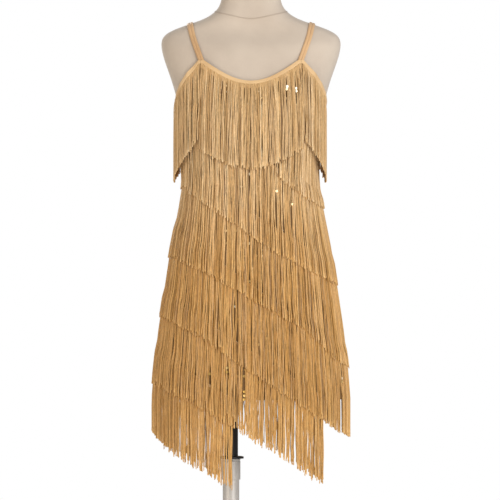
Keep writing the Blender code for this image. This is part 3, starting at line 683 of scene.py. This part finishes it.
# Sequins that the parted fringe shows: place across, height, and tone from gold to silver
SHOWN_SEQUINS = (
    (0.0700, 1.2435, 0.9), (0.0690, 1.2385, 0.6), (0.0872, 1.2400, 0.9), (0.0880, 1.2345, 0.8),
    (0.0862, 1.2080, 0.6), (0.0730, 1.1090, 0.6), (0.0500, 1.0360, 0.55), (0.0795, 1.0100, 0.55),
    (-0.0805, 0.6740, 0.15), (-0.0465, 0.6860, 0.35), (-0.0465, 0.6780, 0.1),
    (-0.0130, 0.6390, 0.05), (-0.0125, 0.6310, 0.25), (-0.0135, 0.6235, 0.1),
    (0.1780, 0.6640, 0.8), (0.1785, 0.6570, 0.3),
)
dice = np.random.default_rng(11)
sequin_points = []
sequin_rims = []
sequin_tints = []


def front_angle(x, height):
    """Angle on the front of the dress at which the cloth reaches a place across."""
    turns = np.linspace(-math.pi + 0.01, -0.01, 200)
    across = [wall_radius(turn, height) * math.cos(turn) for turn in turns]
    return float(np.interp(x, across, turns))


def facing_light(place):
    """Lean (aside, up) of a sequin that mirrors the key light to the viewer."""
    to_light = (Vector(KEY_PLACE) - place).normalized()
    to_viewer = (Vector(VIEWER_PLACE) - place).normalized()
    half = (to_light + to_viewer).normalized()
    outward = Vector((place.x, place.y, 0.0)).normalized()
    straight = half.dot(outward)
    return half.dot(UP.cross(outward)) / straight, half.z / straight


def add_sequin(centre, angle, spin, lean, tone):
    """Add one cup to the lists; it faces outwards and leans (aside, up)."""
    outward = polar(angle, 1.0, 0.0)
    aside = UP.cross(outward).normalized()
    facing = (outward + aside * lean[0] + UP * lean[1]).normalized()
    aside = UP.cross(facing).normalized()
    rise = facing.cross(aside)
    half = SEQUIN_THICKNESS / 2.0
    start = len(sequin_points)
    sequin_points.extend((centre + facing * (half - SEQUIN_CUP), centre - facing * (half + SEQUIN_CUP)))
    for level in (half, -half):
        for side in range(SEQUIN_SIDES):
            angle = spin + math.tau * side / SEQUIN_SIDES
            rim = (aside * math.cos(angle) + rise * math.sin(angle)) * SEQUIN_RADIUS
            sequin_points.append(centre + rim + facing * level)
    sequin_tints.extend([tone] * (2 + 2 * SEQUIN_SIDES))
    front = start + 2
    back = front + SEQUIN_SIDES
    for side in range(SEQUIN_SIDES):
        after = (side + 1) % SEQUIN_SIDES
        sequin_rims.append((start, front + side, front + after))
        sequin_rims.append((start + 1, back + after, back + side))
        sequin_rims.append((front + side, back + side, back + after, front + after))


height = HEM_HEIGHT + 0.010
row = 0
while height < EDGE_LINE[:, 1].max():
    around = math.tau * wall_radius(-math.pi / 2.0, min(height, ROUND_HIGHEST)) * ROUND_SHARE
    count = int(around / SEQUIN_PITCH)
    for i in range(count):
        angle = math.tau * (i + 0.5 * (row % 2)) / count
        if height > edge_height(angle) - SEQUIN_MARGIN or dice.random() > SEQUIN_SHARE:
            continue
        centre = polar(angle, wall_radius(angle, height) + SEQUIN_LIFT, height)
        lean = dice.uniform(0.04, 0.20), dice.uniform(-0.24, -0.06)
        spin = dice.uniform(0.0, 6.3)
        silver_share = min(max((height - SILVER_FROM) / SILVER_OVER, 0.05), 0.9)
        tone = 0.55 + 0.25 * dice.random() if dice.random() < silver_share else 0.5 * dice.random()
        add_sequin(centre, angle, spin, lean, tone)
    height += SEQUIN_PITCH
    row += 1
for x, height, tone in SHOWN_SEQUINS:
    angle = front_angle(x, height)
    centre = polar(angle, wall_radius(angle, height) + SHOWN_LIFT, height)
    add_sequin(centre, angle, 0.2, [SHOWN_LEAN * part for part in facing_light(centre)], tone)
sequins = joined_mesh("base_sequins", sequin_points, sequin_rims, {"tint": sequin_tints})
settle(sequins, "base_sequins", "figure", sequin_foil, angle=20.0)

# %% [markdown]
# Fringe is hung as it is sewn: the lowest row first, then each row above it, so that every
# thread rests on what is already there. A grid over angle and height remembers how far out
# the dress reaches. A thread hangs straight down from the widest point that it has passed,
# or clings back to the dress with a small slope.

# %% Reach of the dress
REACH_ANGLES = 720
REACH_STEP = 0.004
REACH_TOP = 1.304
REACH_LEVELS = 216
angle_cells = -math.pi + math.tau * np.arange(REACH_ANGLES) / REACH_ANGLES
level_cells = REACH_TOP - REACH_STEP * np.arange(REACH_LEVELS)
skin = np.array([[wall_radius(angle, level) for level in level_cells] for angle in angle_cells])
edges = np.array([edge_height(angle) for angle in angle_cells])[:, None]
reach = np.where((level_cells >= HEM_HEIGHT - REACH_STEP) & (level_cells <= edges), skin, 0.0)
print("reach grid", reach.shape, "widest", round(float(reach.max()), 3))


def on_grid(grid, angles, levels):
    """Values of the grid between its cells, at arrays of angles and heights."""
    column = (np.asarray(angles) + math.pi) / math.tau * REACH_ANGLES
    place = np.clip((REACH_TOP - np.asarray(levels)) / REACH_STEP, 0.0, REACH_LEVELS - 1.001)
    i = np.floor(column).astype(int)
    k = np.floor(place).astype(int)
    a = column - i
    b = place - k
    i, after = i % REACH_ANGLES, (i + 1) % REACH_ANGLES
    low = grid[i, k] * (1.0 - a) + grid[after, k] * a
    high = grid[i, k + 1] * (1.0 - a) + grid[after, k + 1] * a
    return low * (1.0 - b) + high * b


# %% [markdown]
# Real threads don't hang like a comb. Neighbours cling into narrow locks, with a fine dark
# line between one lock and the next, and the locks sway a little to one side. Well below the
# hem they close up more, and daylight shows between them. Here and there the fringe parts and
# shows the sequins: a short table of partings pushes the threads near them apart.

# %% Drift and partings of the threads
LOCK_NARROW = 0.0026
LOCK_WIDE = 0.0080
PARTING_REACH = 0.011
PARTINGS = (
    # x, top height, bottom height, half width
    (0.070, 1.268, 1.196, 0.0022), (0.0885, 1.264, 1.192, 0.0022), (0.0965, 1.290, 1.246, 0.0020),
    (-0.102, 1.294, 1.246, 0.0016), (-0.117, 1.266, 1.120, 0.0026), (-0.127, 1.256, 1.118, 0.0026),
    (-0.022, 1.188, 1.130, 0.0012), (-0.003, 1.082, 1.036, 0.0014), (0.073, 1.116, 1.074, 0.0026),
    (0.087, 1.112, 1.080, 0.0014), (0.113, 1.088, 1.046, 0.0014), (0.050, 1.046, 0.966, 0.0024),
    (0.080, 1.034, 0.956, 0.0024), (-0.070, 0.998, 0.926, 0.0014), (-0.100, 0.990, 0.926, 0.0014),
    (-0.129, 0.912, 0.806, 0.0014), (-0.096, 0.884, 0.810, 0.0012), (0.064, 0.908, 0.872, 0.0012),
    (-0.032, 0.816, 0.768, 0.0014), (0.142, 0.816, 0.796, 0.0014), (0.048, 0.744, 0.712, 0.0014),
    (-0.155, 0.746, 0.710, 0.0014), (-0.082, 0.684, 0.632, 0.0026), (-0.046, 0.696, 0.668, 0.0026),
    (-0.014, 0.684, 0.600, 0.0034), (0.1795, 0.700, 0.634, 0.0024),
)
SIDE_PARTING = (0.180, 0.640, 0.526, 0.0085)


def soft_curve(places, spacing, seed):
    """Smooth random values from -1 to 1 along a length, with a spacing in metres."""
    rng = np.random.default_rng(seed)
    count = int(places.max() / spacing) + 4
    values = rng.uniform(-1.0, 1.0, count)
    position = places / spacing + 1.0
    index = np.floor(position).astype(int)
    part = position - index
    part = part * part * (3.0 - 2.0 * part)
    return values[index] * (1.0 - part) + values[np.minimum(index + 1, count - 1)] * part


def locks_of(places, rng):
    """Lock that each thread belongs to, its place from -0.5 to 0.5 in it, and its width."""
    widths = rng.uniform(LOCK_NARROW, LOCK_WIDE, int(places.max() / LOCK_NARROW) + 2)
    borders = np.concatenate(([0.0], np.cumsum(widths)))
    lock = np.searchsorted(borders, places, side="right") - 1
    return lock, (places - borders[lock]) / widths[lock] - 0.5, widths[lock]


def parted(x, level, front):
    """Sideways push away from the partings. The back mirrors all of them but the side one."""
    push = np.zeros_like(x)
    for parting in PARTINGS + (SIDE_PARTING,):
        centre, top, bottom, half_width = parting
        away = np.abs(level - (top + bottom) / 2.0) / ((top - bottom) * 0.75)
        fade = np.clip(1.0 - away ** 2, 0.0, 1.0)
        off = x - (centre if front or parting is SIDE_PARTING else -centre)
        near = np.clip(1.0 - np.abs(off) / PARTING_REACH, 0.0, 1.0)
        side = np.sign((off * (fade + 1e-6)).sum(axis=1))[:, None]
        push += side * half_width * near * fade
    return push


# %% [markdown]
# One thread is a four-sided tube of fourteen rings, which reads as round at this size. It
# thins a little towards its end and swells there into a small loop. All the threads of a row
# go into one mesh, and every point stores a tint: deep threads are painted dark, a painted
# shade, and loops are painted light, a painted highlight.

# %% Threads of one row
THREAD_RADIUS = 0.00092
THREAD_SIDES = 4
THREAD_PITCH = 0.00115
THREAD_STOPS = np.array((0.0, 0.02, 0.06, 0.12, 0.20, 0.30, 0.42,
                         0.55, 0.68, 0.80, 0.90, 0.972, 0.99, 1.0))
THREAD_SHAPE = np.array((1.0,) * 9 + (0.97, 0.95, 0.98, 1.25, 0.7))
LAYER_DEPTH = 0.0027
ROOT_LIFT = 0.0004
ROOT_STEEP = 12.0
TAPE_POINTS = 1400
TAPE_DROP = 0.001
UNDER_BINDING = 0.0036
PROBE_TURN = 0.02
PROBE_DROP = 0.012
END_CELLS = 0.013

# Where a row differs from its solid one: turn added at its last end, threads cut shorter at
# one side (left is minus), threads cut longer at the right, and the lowest tip of the arm rows
LONGER_END = {"fringe_row_6": 0.043}
SHORTER_SIDE = {"fringe_row_6": -0.020, "fringe_row_4": 0.009}
SHORTER_FROM, SHORTER_OVER = 0.160, 0.028
LONGER_SIDE = {"fringe_row_3": 0.032}
LONGER_FROM, LONGER_OVER = 0.095, 0.050
FLAP_LOWEST = 1.0545

# How unevenly the tips are cut
RAGGED, RAGGED_LOW = 0.0019, 0.0034
CUT_WANDER, CUT_WANDER_STEP = 0.0015, 0.02
CUT_SCATTER = 0.001

# How far the threads drift sideways: in locks, singly, in waves, and fanned at a row's ends
LOCK_PULL = 0.50
PULL_FROM, PULL_OVER = 0.4, 0.3
LOCK_SWAY = 0.0010
HEM_PULL = 0.44
FREE_FROM, FREE_OVER = 0.600, 0.07
END_LOCK = 0.014
THREAD_DRIFT = 0.0006
STRAY_SHARE, STRAY_DRIFT = 0.06, 0.004
WAVE_DRIFT, WAVE_STEP = 0.0008, 0.014
FAN_REACH, FAN_DRIFT, FAN_STEEP = 0.020, 0.0034, 5.0

# Tints, from 0 (dark) to 1 (light), and how much a row's tints spread
# Deep threads are painted darker, a painted shade for the shadow of the threads in front; at the roots
# of bound rows the tints fade to ROOT_TONE.
DEEP_PAINTED_SHADE, DEPTH_PAINTED_SHADE = 0.16, 0.68
THREAD_TONE, LOCK_TONE = 0.075, 0.035
MIDDLE_TONE, ROOT_TONE = 0.53, 0.62
TONE_SPREAD = {"fringe_neck_front": 1.15, "fringe_row_4": 0.75,
               "fringe_row_5": 0.60, "fringe_row_6": 0.60}
# Painted light: the threads are lighter below the hem.
HEM_PAINTED_LIGHT, HEM_FADE = 0.10, 0.05
# The loops at the tips are painted lighter, a painted highlight.
TIP_PAINTED_HIGHLIGHT, TIP_FROM = 0.10, 0.965


def share_of(values, start, over):
    """Share from 0 to 1 of the way that values have gone past a start."""
    return np.clip((values - start) / over, 0.0, 1.0)


def header_of(node, ring, extra=0.0):
    """Evenly spaced points along a row's tape: angles, heights and lengths in plan."""
    line = top_line((node,), window=math.radians(1.5), drop=0.010)
    first, last = (-math.pi, math.pi) if ring else span_of(node)
    angles = np.linspace(first, last + extra, TAPE_POINTS)
    heights = np.interp(np.minimum(angles, last), line[:, 0], line[:, 1], period=math.tau)
    radii = np.array([wall_radius(a, h) for a, h in zip(angles, heights)])
    x = radii * np.cos(angles)
    y = radii * np.sin(angles)
    plan = np.concatenate(([0.0], np.cumsum(np.hypot(np.diff(x), np.diff(y)))))
    return angles, heights, plan


def hung_reach(angles, heights, length, ring, cling):
    """Grid of the radius that a row's threads lie at: never less than the dress, and
    falling back towards it at no more than the slope that the threads cling with."""
    tops = np.interp(angle_cells, angles, heights, period=math.tau)
    inside = np.ones(REACH_ANGLES, bool)
    if not ring:
        turn = (angle_cells - angles[0] + END_CELLS) % math.tau
        inside = turn <= (angles[-1] - angles[0]) + 2.0 * END_CELLS
    below = (level_cells <= tops[:, None] + REACH_STEP) & inside[:, None]
    hung = np.where(below, reach, 0.0)
    for k in range(1, REACH_LEVELS):
        hung[:, k] = np.maximum(hung[:, k], hung[:, k - 1] - cling * REACH_STEP)
    hung = np.maximum(hung, skin)
    return hung, below & (level_cells >= tops[:, None] - length)


def hang_straight(hung, start, top, levels):
    """Angles at which threads lie when they only move square to the dress, not round it."""
    low = top - PROBE_DROP
    before, after = start - PROBE_TURN, start + PROBE_TURN
    back = on_grid(skin, before, low)
    ahead = on_grid(skin, after, low)
    along_x = ahead * np.cos(after) - back * np.cos(before)
    along_y = ahead * np.sin(after) - back * np.sin(before)
    size = np.hypot(along_x, along_y)
    along_x, along_y = (along_x / size)[:, None], (along_y / size)[:, None]
    radius = on_grid(skin, start, low)
    kept = along_x[:, 0] * radius * np.cos(start) + along_y[:, 0] * radius * np.sin(start)
    turns = np.repeat(start[:, None], levels.shape[1], axis=1)
    for _ in range(4):
        under = on_grid(hung, turns, levels)
        place = along_x * under * np.cos(turns) + along_y * under * np.sin(turns)
        turning = along_y * np.cos(turns) - along_x * np.sin(turns)
        turns = turns + (kept[:, None] - place) / (under * np.maximum(turning, 0.5))
    return turns


def tube_mesh(centres, radii, tints):
    """Points, faces and tints of many tubes from arrays of ring centres."""
    count, rings = centres.shape[:2]
    side = np.arange(THREAD_SIDES)
    after = (side + 1) % THREAD_SIDES
    plan = centres[:, :, None, :2] / np.linalg.norm(centres[:, :, None, :2], axis=3, keepdims=True)
    out_x, out_y = plan[..., 0], plan[..., 1]
    turns = dice.uniform(0.0, math.pi / 2.0, count)[:, None, None] + math.tau * side / THREAD_SIDES
    across_x = out_x * np.cos(turns) - out_y * np.sin(turns)
    across_y = out_y * np.cos(turns) + out_x * np.sin(turns)
    corners = np.stack((across_x, across_y, np.zeros_like(across_x)), axis=3) * radii[:, :, None, None]
    points = (centres[:, :, None] + corners).reshape(-1, 3)
    first = (np.arange(count * rings) * THREAD_SIDES).reshape(count, rings, 1)
    upper, lower = first[:, :-1], first[:, 1:]
    quads = np.stack((upper + side, lower + side, lower + after, upper + after), axis=3)
    faces = np.concatenate((quads.reshape(-1, 4), first[:, 0] + side, first[:, -1] + side[::-1]))
    return points, faces, {"tint": np.repeat(tints.reshape(-1), THREAD_SIDES)}


def hang_row(node, length, ring, cling, loose, seed):
    """All the threads of one row, laid over what hangs already."""
    rng = np.random.default_rng(seed)
    extra = LONGER_END.get(node, 0.0)
    bound = not node.startswith("fringe_row")
    angles, heights, plan = header_of(node, ring, extra)
    hung, covered = hung_reach(angles, heights, length, ring, cling)
    count = int(plan[-1] / THREAD_PITCH)
    places = (np.arange(count) + rng.random(count)) * plan[-1] / count
    from_end = plan[-1] - places
    start = np.interp(places, plan, angles)
    top = np.interp(places, plan, heights) + (UNDER_BINDING if bound else -TAPE_DROP)

    ragged = RAGGED_LOW if node in ("fringe_row_5", "fringe_row_6") else RAGGED
    cut = length + (UNDER_BINDING if bound else 0.0) + 1.6 * ragged - rng.gamma(2.0, ragged, count)
    cut += CUT_WANDER * soft_curve(places, CUT_WANDER_STEP, seed + 1)
    cut += CUT_SCATTER * rng.normal(size=count)
    right = on_grid(skin, start, top) * np.cos(start)
    shorter = SHORTER_SIDE.get(node, 0.0)
    cut -= abs(shorter) * share_of(math.copysign(1.0, shorter) * right, SHORTER_FROM, SHORTER_OVER)
    cut += LONGER_SIDE.get(node, 0.0) * share_of(right, LONGER_FROM, LONGER_OVER)
    if node.startswith("fringe_arm"):
        cut = np.minimum(cut, top - FLAP_LOWEST + CUT_SCATTER * rng.normal(size=count))
    levels = top[:, None] - cut[:, None] * THREAD_STOPS
    turns = hang_straight(hung, start, top, levels)

    depth = rng.random(count)
    lift = THREAD_RADIUS + (LAYER_DEPTH - 2.0 * THREAD_RADIUS) * depth
    spread = np.minimum(THREAD_STOPS * ROOT_STEEP, 1.0)
    radius = on_grid(hung, turns, levels) + ROOT_LIFT + (lift[:, None] - ROOT_LIFT) * spread

    lock, across, width = locks_of(places, rng)
    locks = lock[-1] + 1
    pull = rng.uniform(0.0, LOCK_PULL, locks)[lock] * share_of(depth, PULL_FROM, PULL_OVER)
    pull = np.maximum(pull[:, None] * spread, HEM_PULL * share_of(-levels, -FREE_FROM, FREE_OVER))
    if extra:
        pull = pull * share_of(from_end, END_LOCK, END_LOCK)[:, None]
    drift = -(across * width)[:, None] * pull
    sway = LOCK_SWAY * rng.normal(size=locks)[lock]
    stray = np.where(rng.random(count) < STRAY_SHARE, STRAY_DRIFT, THREAD_DRIFT)
    stray = stray * rng.normal(size=count)
    drift += loose * (sway + stray)[:, None] * THREAD_STOPS
    phase = rng.uniform(0.0, 6.28, count)
    drift += WAVE_DRIFT * np.sin(levels / WAVE_STEP + phase[:, None]) * spread
    x = radius * np.cos(turns)
    push = np.where(np.sin(turns) < 0.0, parted(x, levels, True), -parted(x, levels, False))
    drift += push * (spread if bound else 1.0)
    if bound:
        near = np.clip(1.0 - np.minimum(places, from_end) / FAN_REACH, 0.0, 1.0) ** 1.5
        fan = np.where(places < from_end, -FAN_DRIFT, FAN_DRIFT) * near
        drift += fan[:, None] * np.minimum(THREAD_STOPS * FAN_STEEP, 1.0)
    turns = turns + drift / radius
    centres = np.stack((radius * np.cos(turns), radius * np.sin(turns), levels), axis=2)
    thick = THREAD_RADIUS * rng.uniform(0.85, 1.15, count)[:, None] * THREAD_SHAPE

    # Painted shade: threads deep in the row are darker, as if shaded by those in front; at the roots of
    # bound rows this fades to one tone.
    tints = DEEP_PAINTED_SHADE + DEPTH_PAINTED_SHADE * depth ** 0.8 + rng.normal(0.0, THREAD_TONE, count)
    tints += LOCK_TONE * rng.normal(size=locks)[lock]
    tints = MIDDLE_TONE + TONE_SPREAD.get(node, 1.0) * (tints - MIDDLE_TONE)
    tints = ROOT_TONE + (tints[:, None] - ROOT_TONE) * (spread if bound else 1.0)
    # Painted light: lighter below the hem.
    tints = tints + HEM_PAINTED_LIGHT * share_of(-levels, -HEM_HEIGHT, HEM_FADE)
    # Painted highlight: the loops at the tips are lighter.
    tints += TIP_PAINTED_HIGHLIGHT * (THREAD_STOPS > TIP_FROM)
    np.maximum(reach, np.where(covered, hung + LAYER_DEPTH, 0.0), out=reach)
    return tube_mesh(centres, thick, np.clip(tints, 0.0, 1.0))


# %% Hang all the rows
ROWS = (
    # node, thread length, closed ring, slope of clinging, looseness of the tips
    ("fringe_row_6", 0.178, False, 0.0, 1.5),
    ("fringe_row_5", 0.172, False, 0.0, 1.5),
    ("fringe_row_4", 0.172, True, 0.0, 1.3),
    ("fringe_row_3", 0.170, True, 0.0, 1.0),
    ("fringe_row_2", 0.170, False, 0.09, 1.0),
    ("fringe_row_1", 0.170, False, 0.09, 1.0),
    ("fringe_arm_right", 0.149, False, 0.0, 0.7),
    ("fringe_arm_left", 0.149, False, 0.0, 0.7),
    ("fringe_neck_front", 0.166, False, 0.02, 0.7),
    ("fringe_neck_back", 0.166, False, 0.02, 0.7),
)
for order, (node, length, ring, cling, loose) in enumerate(ROWS):
    points, faces, attributes = hang_row(node, length, ring, cling, loose, 100 + 10 * order)
    row_piece = joined_mesh("threads", points.tolist(), faces.tolist(), attributes)
    settle(row_piece, node.replace("fringe", "threads"), "figure", fringe_gold, angle=60.0)
    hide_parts(node)
    print("  threads", len(points) // len(THREAD_STOPS) // THREAD_SIDES)

# %% [markdown]
# The tape is the woven heading that holds the threads and is sewn to the cloth. It shows
# only at the top row, between the threads' roots, and where a row ends at the hem.

# %% Tapes of the rows
TAPE_WIDTH = 0.006
TAPE_THICKNESS = 0.0005
TAPE_LIFT = 0.0002


def tape_rule(node, ring):
    """Rule for a row's tape: v runs from its lower side to its upper side."""
    angles, heights, plan = header_of(node, ring)

    def rule(u, v):
        place = u * plan[-1]
        angle = float(np.interp(place, plan, angles))
        height = float(np.interp(place, plan, heights)) - TAPE_WIDTH * (1.0 - v)
        return polar(angle, wall_radius(angle, height) + TAPE_LIFT, height)
    return rule


tapes = [bent_grid(node.replace("fringe", "tape"), 160, 2, tape_rule(node, ring), TAPE_THICKNESS,
                   binding_satin) for node, _, ring, *_ in ROWS]

# %% [markdown]
# The stand is turned metal: a pale column with a collar, a black clamp ring, a black mast
# and a round floor plate. Each is a cylinder whose upper face is extruded and resized where
# the real part steps, with bevelled edges.

# %% Helper for turned parts
POLE_X = (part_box("column")[0].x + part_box("column")[1].x) / 2.0


def size_of(node):
    """Radius, lower height and upper height of a round node."""
    low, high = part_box(node)
    return (high.x - low.x) / 2.0, low.z, high.z


def turned(name, node, rings, bevel, body, material, sides=72):
    """Round part from (radius, height) rings, from its lower face to its upper one."""
    nothing_selected()
    radius, low = rings[0]
    high = rings[1][1]
    bpy.ops.mesh.primitive_cylinder_add(vertices=sides, radius=radius, depth=high - low,
                                        location=(0.0, 0.0, (low + high) / 2.0))
    piece = bpy.context.object
    bpy.ops.object.transform_apply(location=True, rotation=False, scale=False)
    edit_end_face(piece, 2, 1.0)
    for (radius, height), (wider, upper) in zip(rings[1:], rings[2:]):
        bpy.ops.mesh.extrude_region_move(TRANSFORM_OT_translate={"value": (0.0, 0.0, upper - height)})
        if wider != radius:
            factor = wider / radius
            bpy.ops.transform.resize(value=(factor, factor, 1.0), center_override=(0.0, 0.0, upper))
    bpy.ops.object.mode_set(mode="OBJECT")
    for vertex in piece.data.vertices:
        vertex.co.x += POLE_X
    apply(piece, "BEVEL", width=bevel, segments=3, limit_method="ANGLE", angle_limit=math.radians(30))
    settle(piece, name, body, material, 30.0)
    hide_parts(node)

# %% Parts of the stand
PLATE = 0.006
HUB_RADIUS = 0.028
HUB_BORE = 0.017
radius, low, high = size_of("base")
turned("floor_plate", "base", (
    (radius, 0.0), (radius, PLATE - 0.002), (radius - 0.003, PLATE),
    (HUB_RADIUS, PLATE + 0.0001), (HUB_RADIUS, high - 0.006), (HUB_RADIUS - 0.005, high),
    (HUB_BORE, high),
), 0.0006, "stand", pale_lacquer, 96)
radius, low, high = size_of("column")
turned("column_tube", "column", ((radius, low), (radius, high)),
       0.0004, "stand", pale_lacquer)
radius, low, high = size_of("clamp_collar")
turned("collar_sleeve", "clamp_collar", (
    (radius - 0.0012, low), (radius, low + 0.0016), (radius, high - 0.005),
    (radius - 0.0006, high - 0.0044), (radius - 0.0006, high - 0.0030), (radius, high - 0.0024),
    (radius, high),
), 0.0003, "stand", pale_lacquer)
radius, low, high = size_of("clamp_ring")
turned("clamp_flange", "clamp_ring", ((radius, low), (radius, high - 0.001), (radius - 0.004, high)),
       0.0005, "stand", black_coat)
radius, low, high = size_of("mast")
turned("mast_rod", "mast", ((radius, low), (radius, high)), 0.0008, "mast", black_coat)
radius, low, high = size_of("pole_socket")
turned("form_socket", "pole_socket", ((radius - 0.004, low), (radius, low + 0.004), (radius, high)),
       0.0008, "figure", black_coat)

# %% Screw of the clamp
screw_low, screw_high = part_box("clamp_screw")
screw_radius = (screw_high.x - screw_low.x) / 2.0
screw_depth = screw_high.y - screw_low.y
nothing_selected()
bpy.ops.mesh.primitive_cylinder_add(vertices=32, radius=screw_radius, depth=screw_depth,
                                    location=(screw_low + screw_high) / 2.0,
                                    rotation=(math.pi / 2.0, 0.0, 0.0))
screw = bpy.context.object
bpy.ops.object.transform_apply(location=True, rotation=True, scale=True)
edit_end_face(screw, 1, -1.0)
bpy.ops.mesh.inset(thickness=0.0011)
bpy.ops.mesh.inset(thickness=0.0001)
bpy.ops.mesh.extrude_region_move(TRANSFORM_OT_translate={"value": (0.0, 0.0016, 0.0)})
bpy.ops.object.mode_set(mode="OBJECT")
settle(screw, "clamp_screw_head", "stand", black_coat, 30.0)
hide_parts("clamp_screw")

# %% [markdown]
# The dress is two sheets of cloth. For each, the size that it was cut to is measured and
# printed: as wide as half the hem, as long as from the hem to the strap, with the waist and
# neckline cut away, so its area is less than that of the whole rectangle.

def skin_area(piece):
    """Area of a thin closed sheet: half of its whole surface."""
    return sum(face.area for face in piece.data.polygons) / 2.0


for panel, side in zip(panels, (-1.0, 1.0)):
    turns = np.linspace(0.0, math.pi, 200) * side
    hem = [polar(turn, wall_radius(turn, HEM_HEIGHT + 0.001), 0.0) for turn in turns]
    width = sum((after - before).length for before, after in zip(hem, hem[1:]))
    length = EDGE_LINE[:, 1].max() - HEM_HEIGHT + 0.03
    area = skin_area(panel)
    print(panel.name, "cut", round(width, 3), "by", round(length, 3), "area", round(area, 3))

# %% [markdown]
# A plain studio: a pale floor, an even white surround, a large soft key from the front
# right, a weaker warm fill from the left, a little light from behind to lift the edges, and
# a faint warm glow near the floor. The camera stands far off at the dress's mid height, as
# for a catalogue picture, and sees one metre across.

# %% Stage, lights and camera
nothing_selected()
bpy.ops.mesh.primitive_plane_add(size=7.0, location=(0.0, 0.0, -0.0006))
floor = bpy.context.object
floor.name = "studio_floor"
pale_floor, tree, shader = new_material("pale_floor", 0.7)
shader.inputs["Base Color"].default_value = (0.80, 0.80, 0.79, 1.0)
floor.data.materials.append(pale_floor)
floor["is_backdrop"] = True

world = bpy.data.worlds.new("white_studio")
bpy.context.scene.world = world
world.use_nodes = True
tree = world.node_tree
surround = tree.nodes["Background"]
surround.inputs["Color"].default_value = (1.0, 0.975, 0.94, 1.0)
surround.inputs["Strength"].default_value = 0.37
seen = add_node(tree, "ShaderNodeBackground", {"Color": (1.0, 1.0, 1.0, 1.0), "Strength": 1.0})
rays = add_node(tree, "ShaderNodeLightPath")
choose = add_node(tree, "ShaderNodeMixShader")
link(rays, "Is Camera Ray", choose, "Fac")
link(surround, "Background", choose, 1)
link(seen, "Background", choose, 2)
link(choose, "Shader", tree.nodes["World Output"], "Surface")


def soft_light(name, place, aim, size, power, colour=(1.0, 1.0, 1.0)):
    """Square area light aimed at a point."""
    light = bpy.data.lights.new(name, "AREA")
    light.size = size
    light.energy = power
    light.color = colour
    item = bpy.data.objects.new(name, light)
    item.location = place
    item.rotation_euler = (Vector(aim) - Vector(place)).to_track_quat("-Z", "Y").to_euler()
    bpy.context.scene.collection.objects.link(item)


MIDDLE = (0.0, 0.0, 0.95)
soft_light("key", KEY_PLACE, MIDDLE, 2.6, 100.0)
soft_light("fill", (-2.8, -2.2, 1.2), MIDDLE, 2.4, 28.0, (1.0, 0.93, 0.84))
soft_light("rim", (-1.2, 2.6, 2.2), MIDDLE, 1.6, 35.0)
soft_light("floor_glow", (-1.5, -1.9, 0.3), (-0.1, -0.1, 0.62), 1.1, 7.0, (1.0, 0.78, 0.5))

PIXELS = 500
METRES_PER_PIXEL = 0.002
CAMERA_DISTANCE = 12.0
PHOTO_TOP = 1.419
PHOTO_CENTRE_X = -0.002
SENSOR = 36.0
picture_width = PIXELS * METRES_PER_PIXEL
camera_data = bpy.data.cameras.new("catalogue_camera")
camera_data.sensor_width = SENSOR
camera_data.lens = SENSOR * CAMERA_DISTANCE / picture_width
camera = bpy.data.objects.new("catalogue_camera", camera_data)
camera.location = (PHOTO_CENTRE_X, -CAMERA_DISTANCE, PHOTO_TOP - picture_width / 2.0)
camera.rotation_euler = (math.pi / 2.0, 0.0, 0.0)
bpy.context.scene.collection.objects.link(camera)
bpy.context.scene.camera = camera
bpy.context.scene.view_settings.view_transform = "Standard"
print("lens", round(camera_data.lens), "mm at", CAMERA_DISTANCE, "m")

# %% Gather the boxes and finish
low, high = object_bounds()
sizes = {
    "cad": [[float(value) for value in corner] for corner in CAD_BOX],
    "visual": [[float(value) for value in corner] for corner in (low, high)],
}
print("visual box", [round(value, 3) for corner in (low, high) for value in corner])
